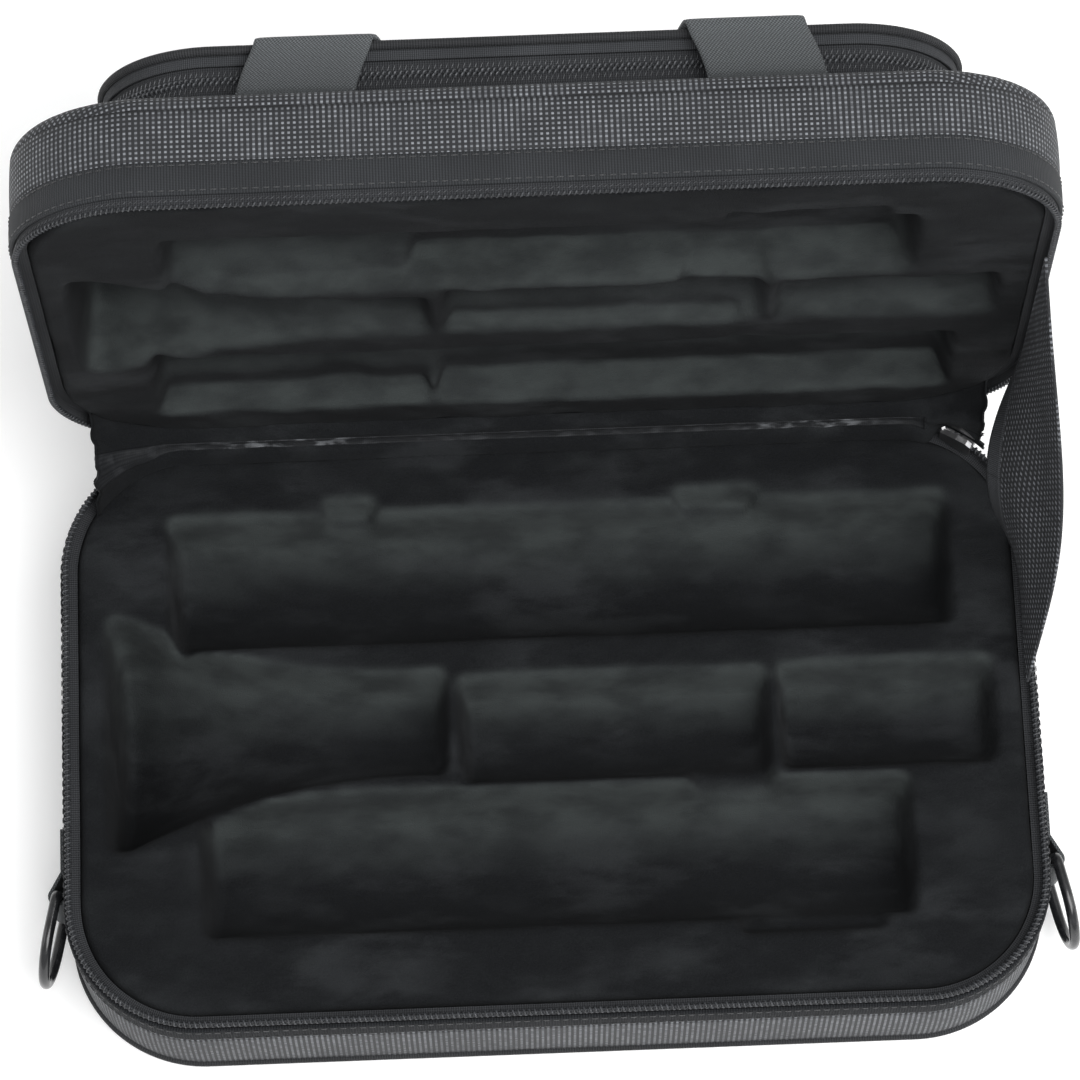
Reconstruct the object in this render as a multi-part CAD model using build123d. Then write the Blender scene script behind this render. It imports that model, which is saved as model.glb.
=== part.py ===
from build123d import *
import math
import os

# Soft-sided, zip-round instrument case, lying open: moulded foam tray and lid in a sewn cover.
# Millimetres. X to the right, Y to the back (hinge side), Z up. The origin is the centre of the
# underside, so the case rests on z = 0. The lid and everything on it is drawn as if closed over
# its own rim plane (rim at z = 0, outer face towards +Z) and then swung open about the hinge.

# ---- driving sizes -------------------------------------------------------------------------
case_width = 339.0        # outside, left to right
case_depth = 212.0        # outside, hinge to front
corner_radius = 46.0      # upright corners, seen from above
base_height = 54.0        # underside to zip line
lid_height = 40.0         # zip line to outer face
lid_open_angle = 90.0     # lid stands upright against its stay

cover_thickness = 1.2     # laminated nylon cover
panel_thickness = 1.4     # floor panel and pocket panel
lining_thickness = 1.6    # plush on its backing
lining_drop = 2.6         # plush face below the zip line
lid_edge_radius = 5.5     # rounded outer edge of the lid
lid_seam_height = 6.0     # seam of the lid panel below the outer face

piping_radius = 1.7       # cord piping round the floor panel
piping_clearance = 0.2    # piping to what it is sewn between
seat_clearance = 0.1      # seats of small sewn or clipped pieces

# main zip: tape behind the trim band, coil rows either side of the zip line
band_height = 11.2        # plain trim band
band_edge = 4.8           # zip line to the band's edge
band_proud = 0.4          # band stands proud of the cover
tape_thickness = 0.8
tape_width = 12.5
row_gap = 0.5             # zip line to a coil row
row_height = 1.8
row_thickness = 2.6
rebate_depth = 9.0        # room behind the tape for the slider
rebate_width = 5.8
tape_edge = 0.9           # tape edge below the zip line
zip_end_gap = 1.5         # hinge end to first coil

# wells, measured from the hinge line and the centre line
well_axis_drop = 5.0      # centre of the round pieces below the zip line
lower_joint = dict(left=-131.0, right=141.0, from_hinge=52.0, radius=23.0)
upper_joint = dict(left=-121.0, right=122.0, from_hinge=155.0, radius=24.0)
mouthpiece = dict(left=-31.0, right=75.0, from_hinge=109.0, radius=18.0)
barrel = dict(left=80.0, right=153.0, from_hinge=108.0, radius=18.0)
bell_left = -153.0
bell_right = -37.0
bell_from_hinge = 106.0
bell_rim_radius = 40.5
bell_rim_length = 6.0
bell_neck_radius = 18.0
bell_waist_radius = 23.5
bell_waist_share = 0.42   # place of the waist along the flare
notch_depth = 13.0
notch_reach = 5.0         # how far a finger notch goes past its well
notch_corner = 4.0

# zip sliders and pulls
slider_length = 12.0
slider_half_height = 4.4
plate_thickness = 1.0
slider_tail_share = 0.75  # height of the slider's ends to its middle
slider_nose = 2.0
slider_clearance = 0.5    # to the coil rows, room for the corner's bend
flange_height = 1.0
flange_gap = 0.5
post_thickness = 0.8
post_length = 5.0
crown_width = 2.4
crown_thickness = 0.9
crown_span = 5.6
pull_bar_radius = 0.7
pull_bar_clearance = 0.3
pull_width = 8.0
pull_length = 30.0
pull_leg = 1.6
pull_window = 5.0
pull_corner = 2.0
slider_park_angle = 33.0  # from the hinge end, round the rear corner
lid_row_start_angle = 47.0  # the lid's row starts past the parked slider
lid_tape_start_angle = 42.0
stop_length = 1.6

# strap rings on the sides
ring_wire_radius = 1.9
ring_inner_width = 28.0
ring_reach = 28.0
ring_corner = 3.0
ring_rest_angle = 12.0
ring_clearance = 0.3
tab_width = 25.0
tab_thickness = 1.3
tab_sewn_length = 17.0
tab_neck = 7.0
ring_from_hinge = 159.0
ring_height = 24.0

# stay on the right, from rim to rim
stay_thickness = 1.0
stay_start = 48.0         # from the hinge, along both rims
stay_base_end = 100.0
stay_lid_end = 145.0
stay_slack = 0.15         # free front edge, from a straight line (0) to a round fan (1)
stay_bow_out = 8.5        # front edge, at the middle
stay_bow_in = 12.0        # rear edge, at the middle
stay_tuck = 8.0
stay_steps = 8

# hinge
hinge_strip_thickness = 1.4
hinge_tape_thickness = 0.8

# pocket on the lid
pocket_width = 280.0
pocket_radius = 38.0
pocket_front_inset = 18.0
pocket_rear_inset = 17.0
pocket_height = 20.0
pocket_zip_middle = 11.5  # chain above the lid's outer face
pocket_slot = 10.0        # opening in the wall that the zip fills
pocket_piping_radius = 1.6
pocket_tape_lap = 1.0

# carry handle
webbing_width = 38.0
webbing_thickness = 1.6
handle_spacing = 150.0    # between the centres of the two sewn ends
anchor_length = 9.0
handle_clearance = 1.2    # webbing to the pocket it hangs on
handle_drop = 108.0       # hinge of the handle to the middle of the grip
grip_length = 122.0
grip_width = 24.0
grip_thickness = 16.0
grip_taper = 0.12         # how much slimmer its ends are
grip_sink = 2.0           # how far the grip bulges past the webbing towards the pocket
grip_core_width = 16.0
strap_foot_width = 30.0
strap_foot_centre = 44.0
loop_turn = 14.0

# ---- values worked out from them --------------------------------------------------------------
hinge_y = case_depth / 2
side_x = case_width / 2
corner_y = hinge_y - corner_radius
hinge_end_x = side_x - corner_radius
band_low = band_edge + band_height
tape_outer = -cover_thickness
tape_inner = tape_outer - tape_thickness
row_middle = (tape_outer + tape_inner) / 2
row_low = row_middle - row_thickness / 2
row_high = row_middle + row_thickness / 2
row_far = row_gap + row_height
foam_face = lining_drop + lining_thickness
slider_radius = corner_radius + row_middle
stop_start_angle = math.degrees(zip_end_gap / slider_radius)
row_start_angle = stop_start_angle + math.degrees(stop_length / slider_radius)
wells = (lower_joint, upper_joint, mouthpiece, barrel)
notches = (
    dict(well=lower_joint, side=1, left=-77.0, right=-59.0),
    dict(well=lower_joint, side=1, left=47.0, right=75.0),
    dict(well=upper_joint, side=1, left=48.0, right=76.0),
    dict(well=upper_joint, side=-1, left=62.0, right=112.0),
)
pocket_front_y = -hinge_y + pocket_front_inset
pocket_rear_y = hinge_y - pocket_rear_inset
pocket_depth = pocket_rear_y - pocket_front_y
pocket_y = (pocket_rear_y + pocket_front_y) / 2
pocket_top = lid_height + pocket_height
pocket_chain_z = lid_height + pocket_zip_middle
pocket_zip_end_y = pocket_rear_y - pocket_radius
anchor_top = lid_height + webbing_thickness
handle_axis_y = -hinge_y + lid_edge_radius + anchor_length / 2
handle_axis_z = anchor_top + seat_clearance + webbing_thickness / 2
handle_flat = pocket_top + 2 * pocket_piping_radius + handle_clearance
strap_start_y = pocket_front_y + webbing_thickness
grip_y = handle_axis_y + handle_drop


# ---- helpers ----------------------------------------------------------------------------------
def outline(offset, width=case_width, depth=case_depth, radius=corner_radius):
    """Rounded rectangle, grown by offset on every side."""
    return RectangleRounded(width + 2 * offset, depth + 2 * offset, radius + offset)


def slab(offset, low, high):
    """Solid of the case outline between two heights."""
    return Pos(0, 0, low) * extrude(outline(offset), high - low)


def ring(outer, inner, low, high):
    """Closed wall of the case outline."""
    return slab(outer, low, high) - slab(inner, low, high)


def pocket_slab(offset, low, high):
    """Solid of the pocket outline between two heights."""
    shape = outline(offset, pocket_width, pocket_depth, pocket_radius)
    return Pos(0, pocket_y, low) * extrude(shape, high - low)


def pocket_ring(outer, inner, low, high):
    """Closed wall of the pocket outline."""
    return pocket_slab(outer, low, high) - pocket_slab(inner, low, high)


def block(x0, x1, y0, y1, z0, z1):
    """Box between two corners."""
    middle = Pos((x0 + x1) / 2, (y0 + y1) / 2, (z0 + z1) / 2)
    return middle * Box(x1 - x0, y1 - y0, z1 - z0)


def rear_gap(half_width, low, high):
    """Space over the hinge, where zip and band are left out."""
    return block(-half_width, half_width, 0, hinge_y * 2, low, high)


def to_base(shape):
    """From rim at z = 0 with its back towards +Z, to the base: rim up, back down."""
    return Pos(0, 0, base_height) * mirror(shape, about=Plane.XY)


def open_lid(shape):
    """From the closed lid over its own rim plane, to the open lid."""
    hinge = Pos(0, hinge_y, base_height)
    return hinge * Rot(-lid_open_angle, 0, 0) * Pos(0, -hinge_y, 0) * shape


def write(name, shape):
    """One STEP file per named piece."""
    export_step(Compound(list(shape.solids())), f"parts/{name}.step")


# ---- wells --------------------------------------------------------------------------------------
def trough(well, axis, grow):
    """Round-bottomed well along X, open towards the rim."""
    length = well["right"] - well["left"] + 2 * grow
    radius = well["radius"] + grow
    x = (well["left"] + well["right"]) / 2
    y = hinge_y - well["from_hinge"]
    shape = Pos(x, y, axis) * Rot(0, 90, 0) * Cylinder(radius, length)
    if axis > 0:
        shape += block(x - length / 2, x + length / 2, y - radius, y + radius, -1, axis)
    return shape


def bell_well(axis, grow):
    """Flared well: one profile turned about its own axis."""
    x0 = bell_left - grow
    x1 = bell_left + bell_rim_length + grow
    x2 = bell_right + grow
    waist_x = x1 + (x2 - x1) * bell_waist_share
    rim = bell_rim_radius + grow
    neck = bell_neck_radius + grow
    line = Polyline((x1, rim), (x0, rim), (x0, 0), (x2, 0), (x2, neck))
    flare = ThreePointArc((x2, neck), (waist_x, bell_waist_radius + grow), (x1, rim))
    profile = make_face(line + flare)
    y = hinge_y - bell_from_hinge
    shape = Pos(0, y, axis) * revolve(profile, Axis.X)
    if axis > 0:
        shape += Pos(0, y, -1) * extrude(profile + mirror(profile, about=Plane.XZ), axis + 1)
    return shape


def finger_notch(notch, grow):
    """Shallow bay beside a well for finger tips."""
    well = notch["well"]
    y = hinge_y - well["from_hinge"]
    reach = well["radius"] + notch_reach + grow
    width = notch["right"] - notch["left"] + 2 * grow
    shape = RectangleRounded(width, 2 * reach, notch_corner + grow)
    half = Pos(0, notch["side"] * reach) * Rectangle(width * 2, 2 * reach)
    x = (notch["left"] + notch["right"]) / 2
    return Pos(x, y, -1) * extrude(shape & half, notch_depth + grow + 1)


def all_wells(axis, grow):
    """Every well of one half, as one tool."""
    tool = bell_well(axis, grow)
    for well in wells:
        tool += trough(well, axis, grow)
    for notch in notches:
        tool += finger_notch(notch, grow)
    return tool


def lining(axis, height):
    """Plush face with its pressed wells."""
    inside = block(-side_x, side_x, -hinge_y, hinge_y, lining_drop, height)
    skin = slab(-rebate_width, lining_drop, foam_face)
    skin += all_wells(axis, lining_thickness) & inside
    return skin - all_wells(axis, 0)


# ---- base ---------------------------------------------------------------------------------------
def base_foam_tray():
    body = slab(-rebate_width, foam_face, rebate_depth)
    body += slab(tape_inner, rebate_depth, band_low)
    step = base_height - 2 * piping_radius - 2 * piping_clearance
    body += slab(-cover_thickness, band_low, step)
    inset = -piping_radius - cover_thickness / 2
    body += slab(inset, step, base_height - panel_thickness)
    return to_base(body - all_wells(well_axis_drop, lining_thickness))


def base_lining():
    return to_base(lining(well_axis_drop, base_height))


def base_floor_cover():
    inset = -piping_radius - cover_thickness / 2
    return slab(inset, 0, panel_thickness)


def base_wall_cover():
    low = 2 * piping_radius + 2 * piping_clearance
    return ring(0, -cover_thickness, low, base_height - band_low)


def base_bottom_piping():
    offset = -cover_thickness / 2 + piping_clearance
    height = piping_radius + piping_clearance
    path = Pos(0, 0, height) * outline(offset).wire()
    start = Plane(origin=path @ 0, z_dir=path % 0)
    return sweep(start * Circle(piping_radius), path)


def zip_band():
    """Trim band round three sides and the corners, rim at z = 0."""
    shape = ring(band_proud, -cover_thickness, band_edge, band_low)
    return shape - rear_gap(hinge_end_x, 0, band_low)


def corner_wedges(angle):
    """Both rear corners from the hinge end up to an angle, as seen from above."""
    reach = corner_radius * 2
    turn = math.radians(angle)
    wedge = [(0, 0), (0, reach), (reach * math.sin(turn), reach * math.cos(turn))]
    shape = Part()
    for side in (-1, 1):
        face = make_face(Polyline(*[(side * x, y) for x, y in wedge], close=True))
        shape += Pos(side * hinge_end_x, corner_y, 0) * extrude(face, band_low)
    return shape


def zip_tape(start_angle=0):
    """Tape behind the band; start_angle is measured round the rear corners."""
    shape = ring(tape_outer, tape_inner, tape_edge, tape_edge + tape_width)
    shape -= rear_gap(hinge_end_x, 0, band_low)
    return shape - corner_wedges(start_angle) if start_angle > 0 else shape


def zip_row(start_angle):
    """One coil row, folded over the tape's edge."""
    shape = ring(row_high, row_low, row_gap, row_far)
    shape -= rear_gap(hinge_end_x, 0, band_low)
    return shape - corner_wedges(start_angle) - zip_tape()


def zip_end_stops():
    """A clamp over the tape's edge at each end of the base's row."""
    return to_base(zip_row(stop_start_angle) & corner_wedges(row_start_angle))


def corner_place(side, angle, offset):
    """Frame on a rear corner: X along the zip towards the front, Y outwards, Z up."""
    turn = math.radians(angle)
    radius = corner_radius + offset
    x = side * (hinge_end_x + radius * math.sin(turn))
    y = corner_y + radius * math.cos(turn)
    return Location((x, y, base_height), (0, 0, -side * angle))


# ---- sliders ------------------------------------------------------------------------------------
def slider_body():
    """Slider about the zip line: X along the zip, Y outwards from the tape's middle, Z across."""
    inner = row_thickness / 2 + slider_clearance
    half = slider_length / 2
    tall = slider_half_height
    shape = Part()
    for side in (-1, 1):
        edges = sorted((side * inner, side * (inner + plate_thickness)))
        shape += block(-half, half, edges[0], edges[1], -tall, tall)
        lips = sorted((side * (tape_thickness / 2 + flange_gap), side * inner))
        for end in (-1, 1):
            ends = sorted((end * tall, end * (tall - flange_height)))
            shape += block(-half, half, lips[0], lips[1], ends[0], ends[1])
    thin = post_thickness / 2
    shape += block(half - post_length, half, -inner, inner, -thin, thin)
    tail = tall * slider_tail_share
    shield = Polyline(
        (-half, -tail), (-half, tail), (0, tall), (half - slider_nose, tall), (half, tail),
        (half, -tail), (half - slider_nose, -tall), (0, -tall), close=True,
    )
    face = Plane(origin=(0, -2 * inner - plate_thickness, 0), x_dir=(1, 0, 0), z_dir=(0, 1, 0))
    return shape & extrude(face * make_face(shield), 2 * (2 * inner + plate_thickness))


def slider_crown():
    """Arch over the pull's bar, on the slider's outer plate."""
    face = row_thickness / 2 + slider_clearance + plate_thickness
    hollow = 2 * pull_bar_radius + 2 * pull_bar_clearance
    half = crown_span / 2
    wide = crown_width / 2
    arch = block(-wide, wide, face, face + hollow + crown_thickness, -half, half)
    room = half - crown_thickness
    return arch - block(-wide, wide, face, face + hollow, -room, room)


def pull_tab():
    """Flat pull with a window: its top bar lies under the crown and it hangs towards -Z."""
    face = row_thickness / 2 + slider_clearance + plate_thickness
    middle = face + pull_bar_clearance + pull_bar_radius
    inner = crown_width / 2 + pull_bar_clearance
    outer = inner + pull_leg
    low = middle - pull_bar_radius
    high = middle + pull_bar_radius
    bar = Pos(0, middle, 0) * Rot(0, 90, 0) * Cylinder(pull_bar_radius, 2 * outer)
    legs = block(-outer, -inner, low, high, -pull_window, 0)
    legs += block(inner, outer, low, high, -pull_window, 0)
    blade = RectangleRounded(pull_width, pull_length - pull_window, pull_corner)
    centre = -(pull_length + pull_window) / 2
    tab = Pos(0, high, centre) * Rot(90, 0, 0) * extrude(blade, high - low)
    return bar + legs + tab


def main_slider_place(side):
    return corner_place(side, slider_park_angle, row_middle)


def main_slider(side):
    body = slider_body()
    if side < 0:
        body = mirror(body, about=Plane.YZ)
    return main_slider_place(side) * (body + slider_crown())


def main_pull(side):
    return main_slider_place(side) * pull_tab()


def pocket_slider_place():
    """Frame on the pocket's left side: X along the chain to the front, Y outwards, Z to the case."""
    y = pocket_zip_end_y - slider_length / 2 - stop_length - seat_clearance
    x = -pocket_width / 2 - row_middle
    plane = Plane(origin=(x, y, pocket_chain_z), x_dir=(0, -1, 0), z_dir=(0, 0, -1))
    return plane


def pocket_slider():
    body = slider_body() + Rot(0, -90, 0) * slider_crown()
    return pocket_slider_place() * body


def pocket_pull():
    return pocket_slider_place() * Rot(0, 90, 0) * pull_tab()


# ---- strap rings --------------------------------------------------------------------------------
def ring_centre():
    """Bar of the ring: distance out from the side wall and place along Y."""
    out = ring_wire_radius + ring_clearance + tab_thickness
    return out, hinge_y - ring_from_hinge


def ring_tab(side):
    out, y = ring_centre()
    outer = ring_wire_radius + ring_clearance + tab_thickness
    sewn = Pos(tab_thickness, y + tab_neck + tab_sewn_length / 2)
    strap = sewn * Rectangle(2 * tab_thickness, tab_sewn_length)
    start = Pos(tab_thickness, y + tab_neck + 0.5) * Rectangle(2 * tab_thickness, 1)
    loop = Pos(out, y) * Circle(outer)
    profile = strap + make_hull((start + loop).edges())
    profile -= Pos(out, y) * Circle(ring_wire_radius + ring_clearance)
    low = ring_height - tab_width / 2
    shape = Pos(side_x, 0, low) * extrude(profile, tab_width)
    return shape if side > 0 else mirror(shape, about=Plane.YZ)


def strap_ring(side):
    """D-shaped ring: a straight bar in the tab and a round bow towards the front."""
    out, y = ring_centre()
    half = ring_inner_width / 2 + ring_wire_radius
    reach = ring_reach
    bow_start = reach - half
    bar = Line((0, -half + ring_corner), (0, half - ring_corner))
    top_turn = RadiusArc((0, half - ring_corner), (-ring_corner, half), -ring_corner)
    top = Line((-ring_corner, half), (-bow_start, half))
    bow = ThreePointArc((-bow_start, half), (-reach, 0), (-bow_start, -half))
    low = Line((-bow_start, -half), (-ring_corner, -half))
    low_turn = RadiusArc((-ring_corner, -half), (0, -half + ring_corner), -ring_corner)
    path = Wire([bar, top_turn, top, bow, low, low_turn])
    start = Plane(origin=path @ 0, z_dir=path % 0)
    wire = sweep(start * Circle(ring_wire_radius), path)
    upright = Plane(origin=(side_x + out, y, ring_height), x_dir=(0, 1, 0), z_dir=(1, 0, 0))
    shape = upright * Rot(0, ring_rest_angle, 0) * wire
    return shape if side > 0 else mirror(shape, about=Plane.YZ)


# ---- lid ----------------------------------------------------------------------------------------
def lid_cap(offset, top, radius):
    """Outer part of the lid with its rounded edge, from the band to the outer face."""
    shape = slab(offset, band_low, top)
    return fillet(shape.edges().group_by(Axis.Z)[-1], radius)


def lid_foam_shell():
    body = slab(-rebate_width, foam_face, rebate_depth)
    body += slab(tape_inner, rebate_depth, band_low)
    top = lid_height - cover_thickness
    body += lid_cap(-cover_thickness, top, lid_edge_radius - cover_thickness)
    return open_lid(body - all_wells(-well_axis_drop, lining_thickness))


def lid_cover():
    """Whole sewn cover of the lid outside the band, before it is parted at its seam."""
    top = lid_height - cover_thickness
    inner = lid_cap(-cover_thickness, top, lid_edge_radius - cover_thickness)
    return lid_cap(0, lid_height, lid_edge_radius) - inner


def lid_part(low, high):
    cutter = block(-case_width, case_width, -case_depth, case_depth, low, high)
    return open_lid(lid_cover() & cutter)


def hinge_strip():
    """Outer hinge fabric, bent at the hinge line: one leg on each half's rear wall."""
    low = hinge_strip_thickness - cover_thickness
    leg = block(-hinge_end_x, hinge_end_x, hinge_y - cover_thickness, hinge_y + low, -low, band_low)
    base_leg = to_base(leg)
    return base_leg + open_lid(leg)


def inner_hinge_tape():
    """Woven tape on the inside of the hinge, from one plush edge to the other."""
    edge = rebate_width
    drop = lining_drop
    thick = hinge_tape_thickness
    face = make_face(Polyline(
        (hinge_y - edge, base_height - drop - thick),
        (hinge_y - cover_thickness - seat_clearance, base_height - drop - thick / 2),
        (hinge_y - cover_thickness - seat_clearance, base_height + hinge_strip_thickness),
        (hinge_y + drop + thick / 2, base_height + hinge_strip_thickness),
        (hinge_y + drop + thick, base_height + edge),
        (hinge_y + drop, base_height + edge),
        (hinge_y + drop - thick, base_height + hinge_strip_thickness + thick),
        (hinge_y - cover_thickness - thick - seat_clearance, base_height + hinge_strip_thickness + thick),
        (hinge_y - cover_thickness - thick - seat_clearance, base_height - drop + thick / 2),
        (hinge_y - edge, base_height - drop),
        close=True,
    ))
    profile = Plane(origin=(-hinge_end_x, 0, 0), x_dir=(0, 1, 0), z_dir=(1, 0, 0)) * face
    return extrude(profile, 2 * hinge_end_x)


def stay_far(share):
    """Distance of the stay's front edge from the hinge, at a share of the lid's angle."""
    whole = math.radians(lid_open_angle)
    turn = share * whole
    across = stay_base_end * math.sin(turn) + stay_lid_end * math.sin(whole - turn)
    straight = stay_base_end * stay_lid_end * math.sin(whole) / across
    fan = stay_base_end + (stay_lid_end - stay_base_end) * share
    return straight + (fan - straight) * stay_slack


def stay():
    """Stay on the right: slack cloth from rim to rim, bowed out in front and in at the rear."""
    inside = side_x + row_low - seat_clearance - stay_thickness
    sections = []
    for step in range(stay_steps + 1):
        share = step / stay_steps
        bow = math.sin(math.pi * share)
        far = stay_far(share)
        rear_x = inside - stay_bow_in * bow
        front_x = inside + stay_bow_out * bow
        strip = Polyline(
            (rear_x, -stay_start), (rear_x + stay_thickness, -stay_start),
            (front_x + stay_thickness, -far), (front_x, -far), close=True,
        )
        turn = Pos(0, hinge_y, base_height) * Rot(-share * lid_open_angle, 0, 0)
        sections.append(turn * make_face(strip))
    sheet = loft(sections)
    x1 = inside + stay_thickness
    start_y = hinge_y - stay_start
    sheet += to_base(block(inside, x1, hinge_y - stay_base_end, start_y, 0, stay_tuck))
    return sheet + open_lid(block(inside, x1, hinge_y - stay_lid_end, start_y, 0, stay_tuck))


# ---- pocket -------------------------------------------------------------------------------------
def pocket_open_side(low, high):
    """Space on the hinge side, where the pocket's wall has no zip."""
    return block(-case_width, case_width, pocket_zip_end_y, case_depth, low, high)


def pocket_wall():
    wall = pocket_ring(0, -cover_thickness, lid_height, pocket_top)
    low = pocket_chain_z - pocket_slot / 2
    high = pocket_chain_z + pocket_slot / 2
    slot = pocket_ring(1, -cover_thickness - 1, low, high) - pocket_open_side(low, high)
    return open_lid(wall - slot)


def pocket_zip_tapes():
    half = pocket_slot / 2 + pocket_tape_lap
    shape = Part()
    for side in (-1, 1):
        ends = sorted((pocket_chain_z + side * tape_edge, pocket_chain_z + side * half))
        shape += pocket_ring(tape_outer, tape_inner, ends[0], ends[1])
    return shape - pocket_open_side(lid_height, pocket_top)


def pocket_rows(low=row_gap):
    """Both coil rows of the pocket's zip, folded over the edges of their tapes."""
    shape = Part()
    for side in (-1, 1):
        ends = sorted((pocket_chain_z + side * low, pocket_chain_z + side * row_far))
        shape += pocket_ring(row_high, row_low, ends[0], ends[1])
    return shape - pocket_open_side(lid_height, pocket_top) - pocket_zip_tapes()


def pocket_stop_space():
    return block(-case_width, case_width, pocket_zip_end_y - stop_length, case_depth, 0, pocket_top)


def pocket_zip_teeth():
    return open_lid(pocket_rows() - pocket_stop_space())


def pocket_zip_stops():
    """A clamp across both rows at each end of the pocket's zip."""
    return open_lid(pocket_rows(0) & pocket_stop_space())


def pocket_panel():
    inset = -pocket_piping_radius
    return open_lid(pocket_slab(inset, pocket_top, pocket_top + panel_thickness))


def pocket_piping():
    height = pocket_top + pocket_piping_radius + seat_clearance
    offset = seat_clearance
    shape = outline(offset, pocket_width, pocket_depth, pocket_radius)
    path = Pos(0, pocket_y, height) * shape.wire()
    start = Plane(origin=path @ 0, z_dir=path % 0)
    return open_lid(sweep(start * Circle(pocket_piping_radius), path))


# ---- handle -------------------------------------------------------------------------------------
def handle_anchors():
    """The two sewn ends of the webbing on the lid's outer face."""
    shape = Part()
    half = webbing_width / 2
    for side in (-1, 1):
        x = side * handle_spacing / 2
        y = handle_axis_y - anchor_length / 2
        shape += block(x - half, x + half, y, y + anchor_length, lid_height, anchor_top)
    return open_lid(shape)


def webbing_rise():
    """The webbing seen from the side: from its axis up over the pocket's edge."""
    middle = handle_flat + webbing_thickness / 2
    over_y = pocket_front_y - pocket_piping_radius - handle_clearance - webbing_thickness / 2
    line = Polyline((handle_axis_y, handle_axis_z), (over_y, middle), (strap_start_y, middle))
    face = make_face(offset(line, amount=webbing_thickness / 2, side=Side.BOTH))
    return Plane(origin=(0, 0, 0), x_dir=(0, 1, 0), z_dir=(1, 0, 0)) * face


def handle_webbing_closed():
    """Webbing loop: up over the pocket's edge and flat along the pocket, narrowing to the grip."""
    shape = Part()
    half = webbing_width / 2
    core = grip_core_width / 2
    foot_half = strap_foot_width / 2
    for side in (-1, 1):
        x = side * handle_spacing / 2
        shape += Pos(x - half, 0, 0) * extrude(webbing_rise(), webbing_width)
        inner = side * (strap_foot_centre - foot_half)
        outer = side * (strap_foot_centre + foot_half)
        strap = Polyline(
            (x - side * half, strap_start_y), (x + side * half, strap_start_y),
            (outer, grip_y - core), (outer - side * loop_turn, grip_y + core),
            (0, grip_y + core), (0, grip_y - core), (inner, grip_y - core), close=True,
        )
        shape += Pos(0, 0, handle_flat) * extrude(make_face(strap), webbing_thickness)
    return shape


def handle_grip():
    """Padded sleeve round the middle of the loop, fuller in the middle than at its ends."""
    height = handle_flat + grip_thickness / 2 - grip_sink
    sections = []
    for share in (-1.0, -0.5, 0.0, 0.5, 1.0):
        swell = 1 - grip_taper * share * share
        face = Ellipse(grip_thickness / 2 * swell, grip_width / 2 * swell)
        sections.append(Pos(share * grip_length / 2, grip_y, height) * Rot(0, 90, 0) * face)
    return open_lid(loft(sections) - handle_webbing_closed())


# ---- build --------------------------------------------------------------------------------------
def build():
    os.makedirs("parts", exist_ok=True)
    write("base_foam_tray", base_foam_tray())
    write("base_lining", base_lining())
    write("base_floor_cover", base_floor_cover())
    write("base_wall_cover", base_wall_cover())
    write("base_bottom_piping", base_bottom_piping())
    write("base_zip_band", to_base(zip_band()))
    write("base_zip_tape", to_base(zip_tape()))
    write("base_zip_teeth", to_base(zip_row(row_start_angle)))
    write("zip_end_stops", zip_end_stops())
    write("hinge_strip", hinge_strip())
    write("inner_hinge_tape", inner_hinge_tape())
    write("lid_stay", stay())
    write("lid_foam_shell", lid_foam_shell())
    write("lid_lining", open_lid(lining(-well_axis_drop, lid_height)))
    write("lid_panel_cover", lid_part(lid_height - lid_seam_height, 2 * lid_height))
    write("lid_wall_cover", lid_part(0, lid_height - lid_seam_height))
    write("lid_zip_band", open_lid(zip_band()))
    write("lid_zip_tape", open_lid(zip_tape(lid_tape_start_angle)))
    write("lid_zip_teeth", open_lid(zip_row(lid_row_start_angle)))
    write("pocket_wall", pocket_wall())
    write("pocket_panel", pocket_panel())
    write("pocket_piping", pocket_piping())
    write("pocket_zip_tapes", open_lid(pocket_zip_tapes()))
    write("pocket_zip_teeth", pocket_zip_teeth())
    write("pocket_zip_stops", pocket_zip_stops())
    write("pocket_zip_slider", open_lid(pocket_slider()))
    write("pocket_zip_pull", open_lid(pocket_pull()))
    write("handle_anchors", handle_anchors())
    write("handle_webbing", open_lid(handle_webbing_closed()))
    write("handle_grip", handle_grip())
    for side, word in ((-1, "left"), (1, "right")):
        write(f"{word}_zip_slider", main_slider(side))
        write(f"{word}_zip_pull", main_pull(side))
        write(f"{word}_ring_tab", ring_tab(side))
        write(f"{word}_strap_ring", strap_ring(side))


build()
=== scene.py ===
"""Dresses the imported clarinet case: plush wells, sewn nylon covers, coil zips, webbing and metal."""

import math

import bpy
import numpy as np
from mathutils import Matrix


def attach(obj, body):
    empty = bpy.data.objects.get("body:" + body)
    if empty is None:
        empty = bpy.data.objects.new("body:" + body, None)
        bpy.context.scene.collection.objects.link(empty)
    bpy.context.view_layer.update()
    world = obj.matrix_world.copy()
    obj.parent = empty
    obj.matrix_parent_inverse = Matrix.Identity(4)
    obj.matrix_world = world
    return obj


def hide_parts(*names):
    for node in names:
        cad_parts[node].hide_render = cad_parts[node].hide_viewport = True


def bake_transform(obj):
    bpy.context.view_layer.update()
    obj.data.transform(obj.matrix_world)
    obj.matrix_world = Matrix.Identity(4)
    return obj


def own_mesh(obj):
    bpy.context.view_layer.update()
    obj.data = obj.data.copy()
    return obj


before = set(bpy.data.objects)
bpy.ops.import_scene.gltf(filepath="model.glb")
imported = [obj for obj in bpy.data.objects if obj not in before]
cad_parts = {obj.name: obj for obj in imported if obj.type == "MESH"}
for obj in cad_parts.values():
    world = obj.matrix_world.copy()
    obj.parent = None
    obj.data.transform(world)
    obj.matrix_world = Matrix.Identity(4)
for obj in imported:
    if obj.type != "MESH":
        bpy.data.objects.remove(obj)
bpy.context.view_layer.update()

# ---- sizes of the part, in millimetres ---------------------------------------------------------
MM = 0.001
HINGE_Y = 106.0
BASE_HEIGHT = 54.0
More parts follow.
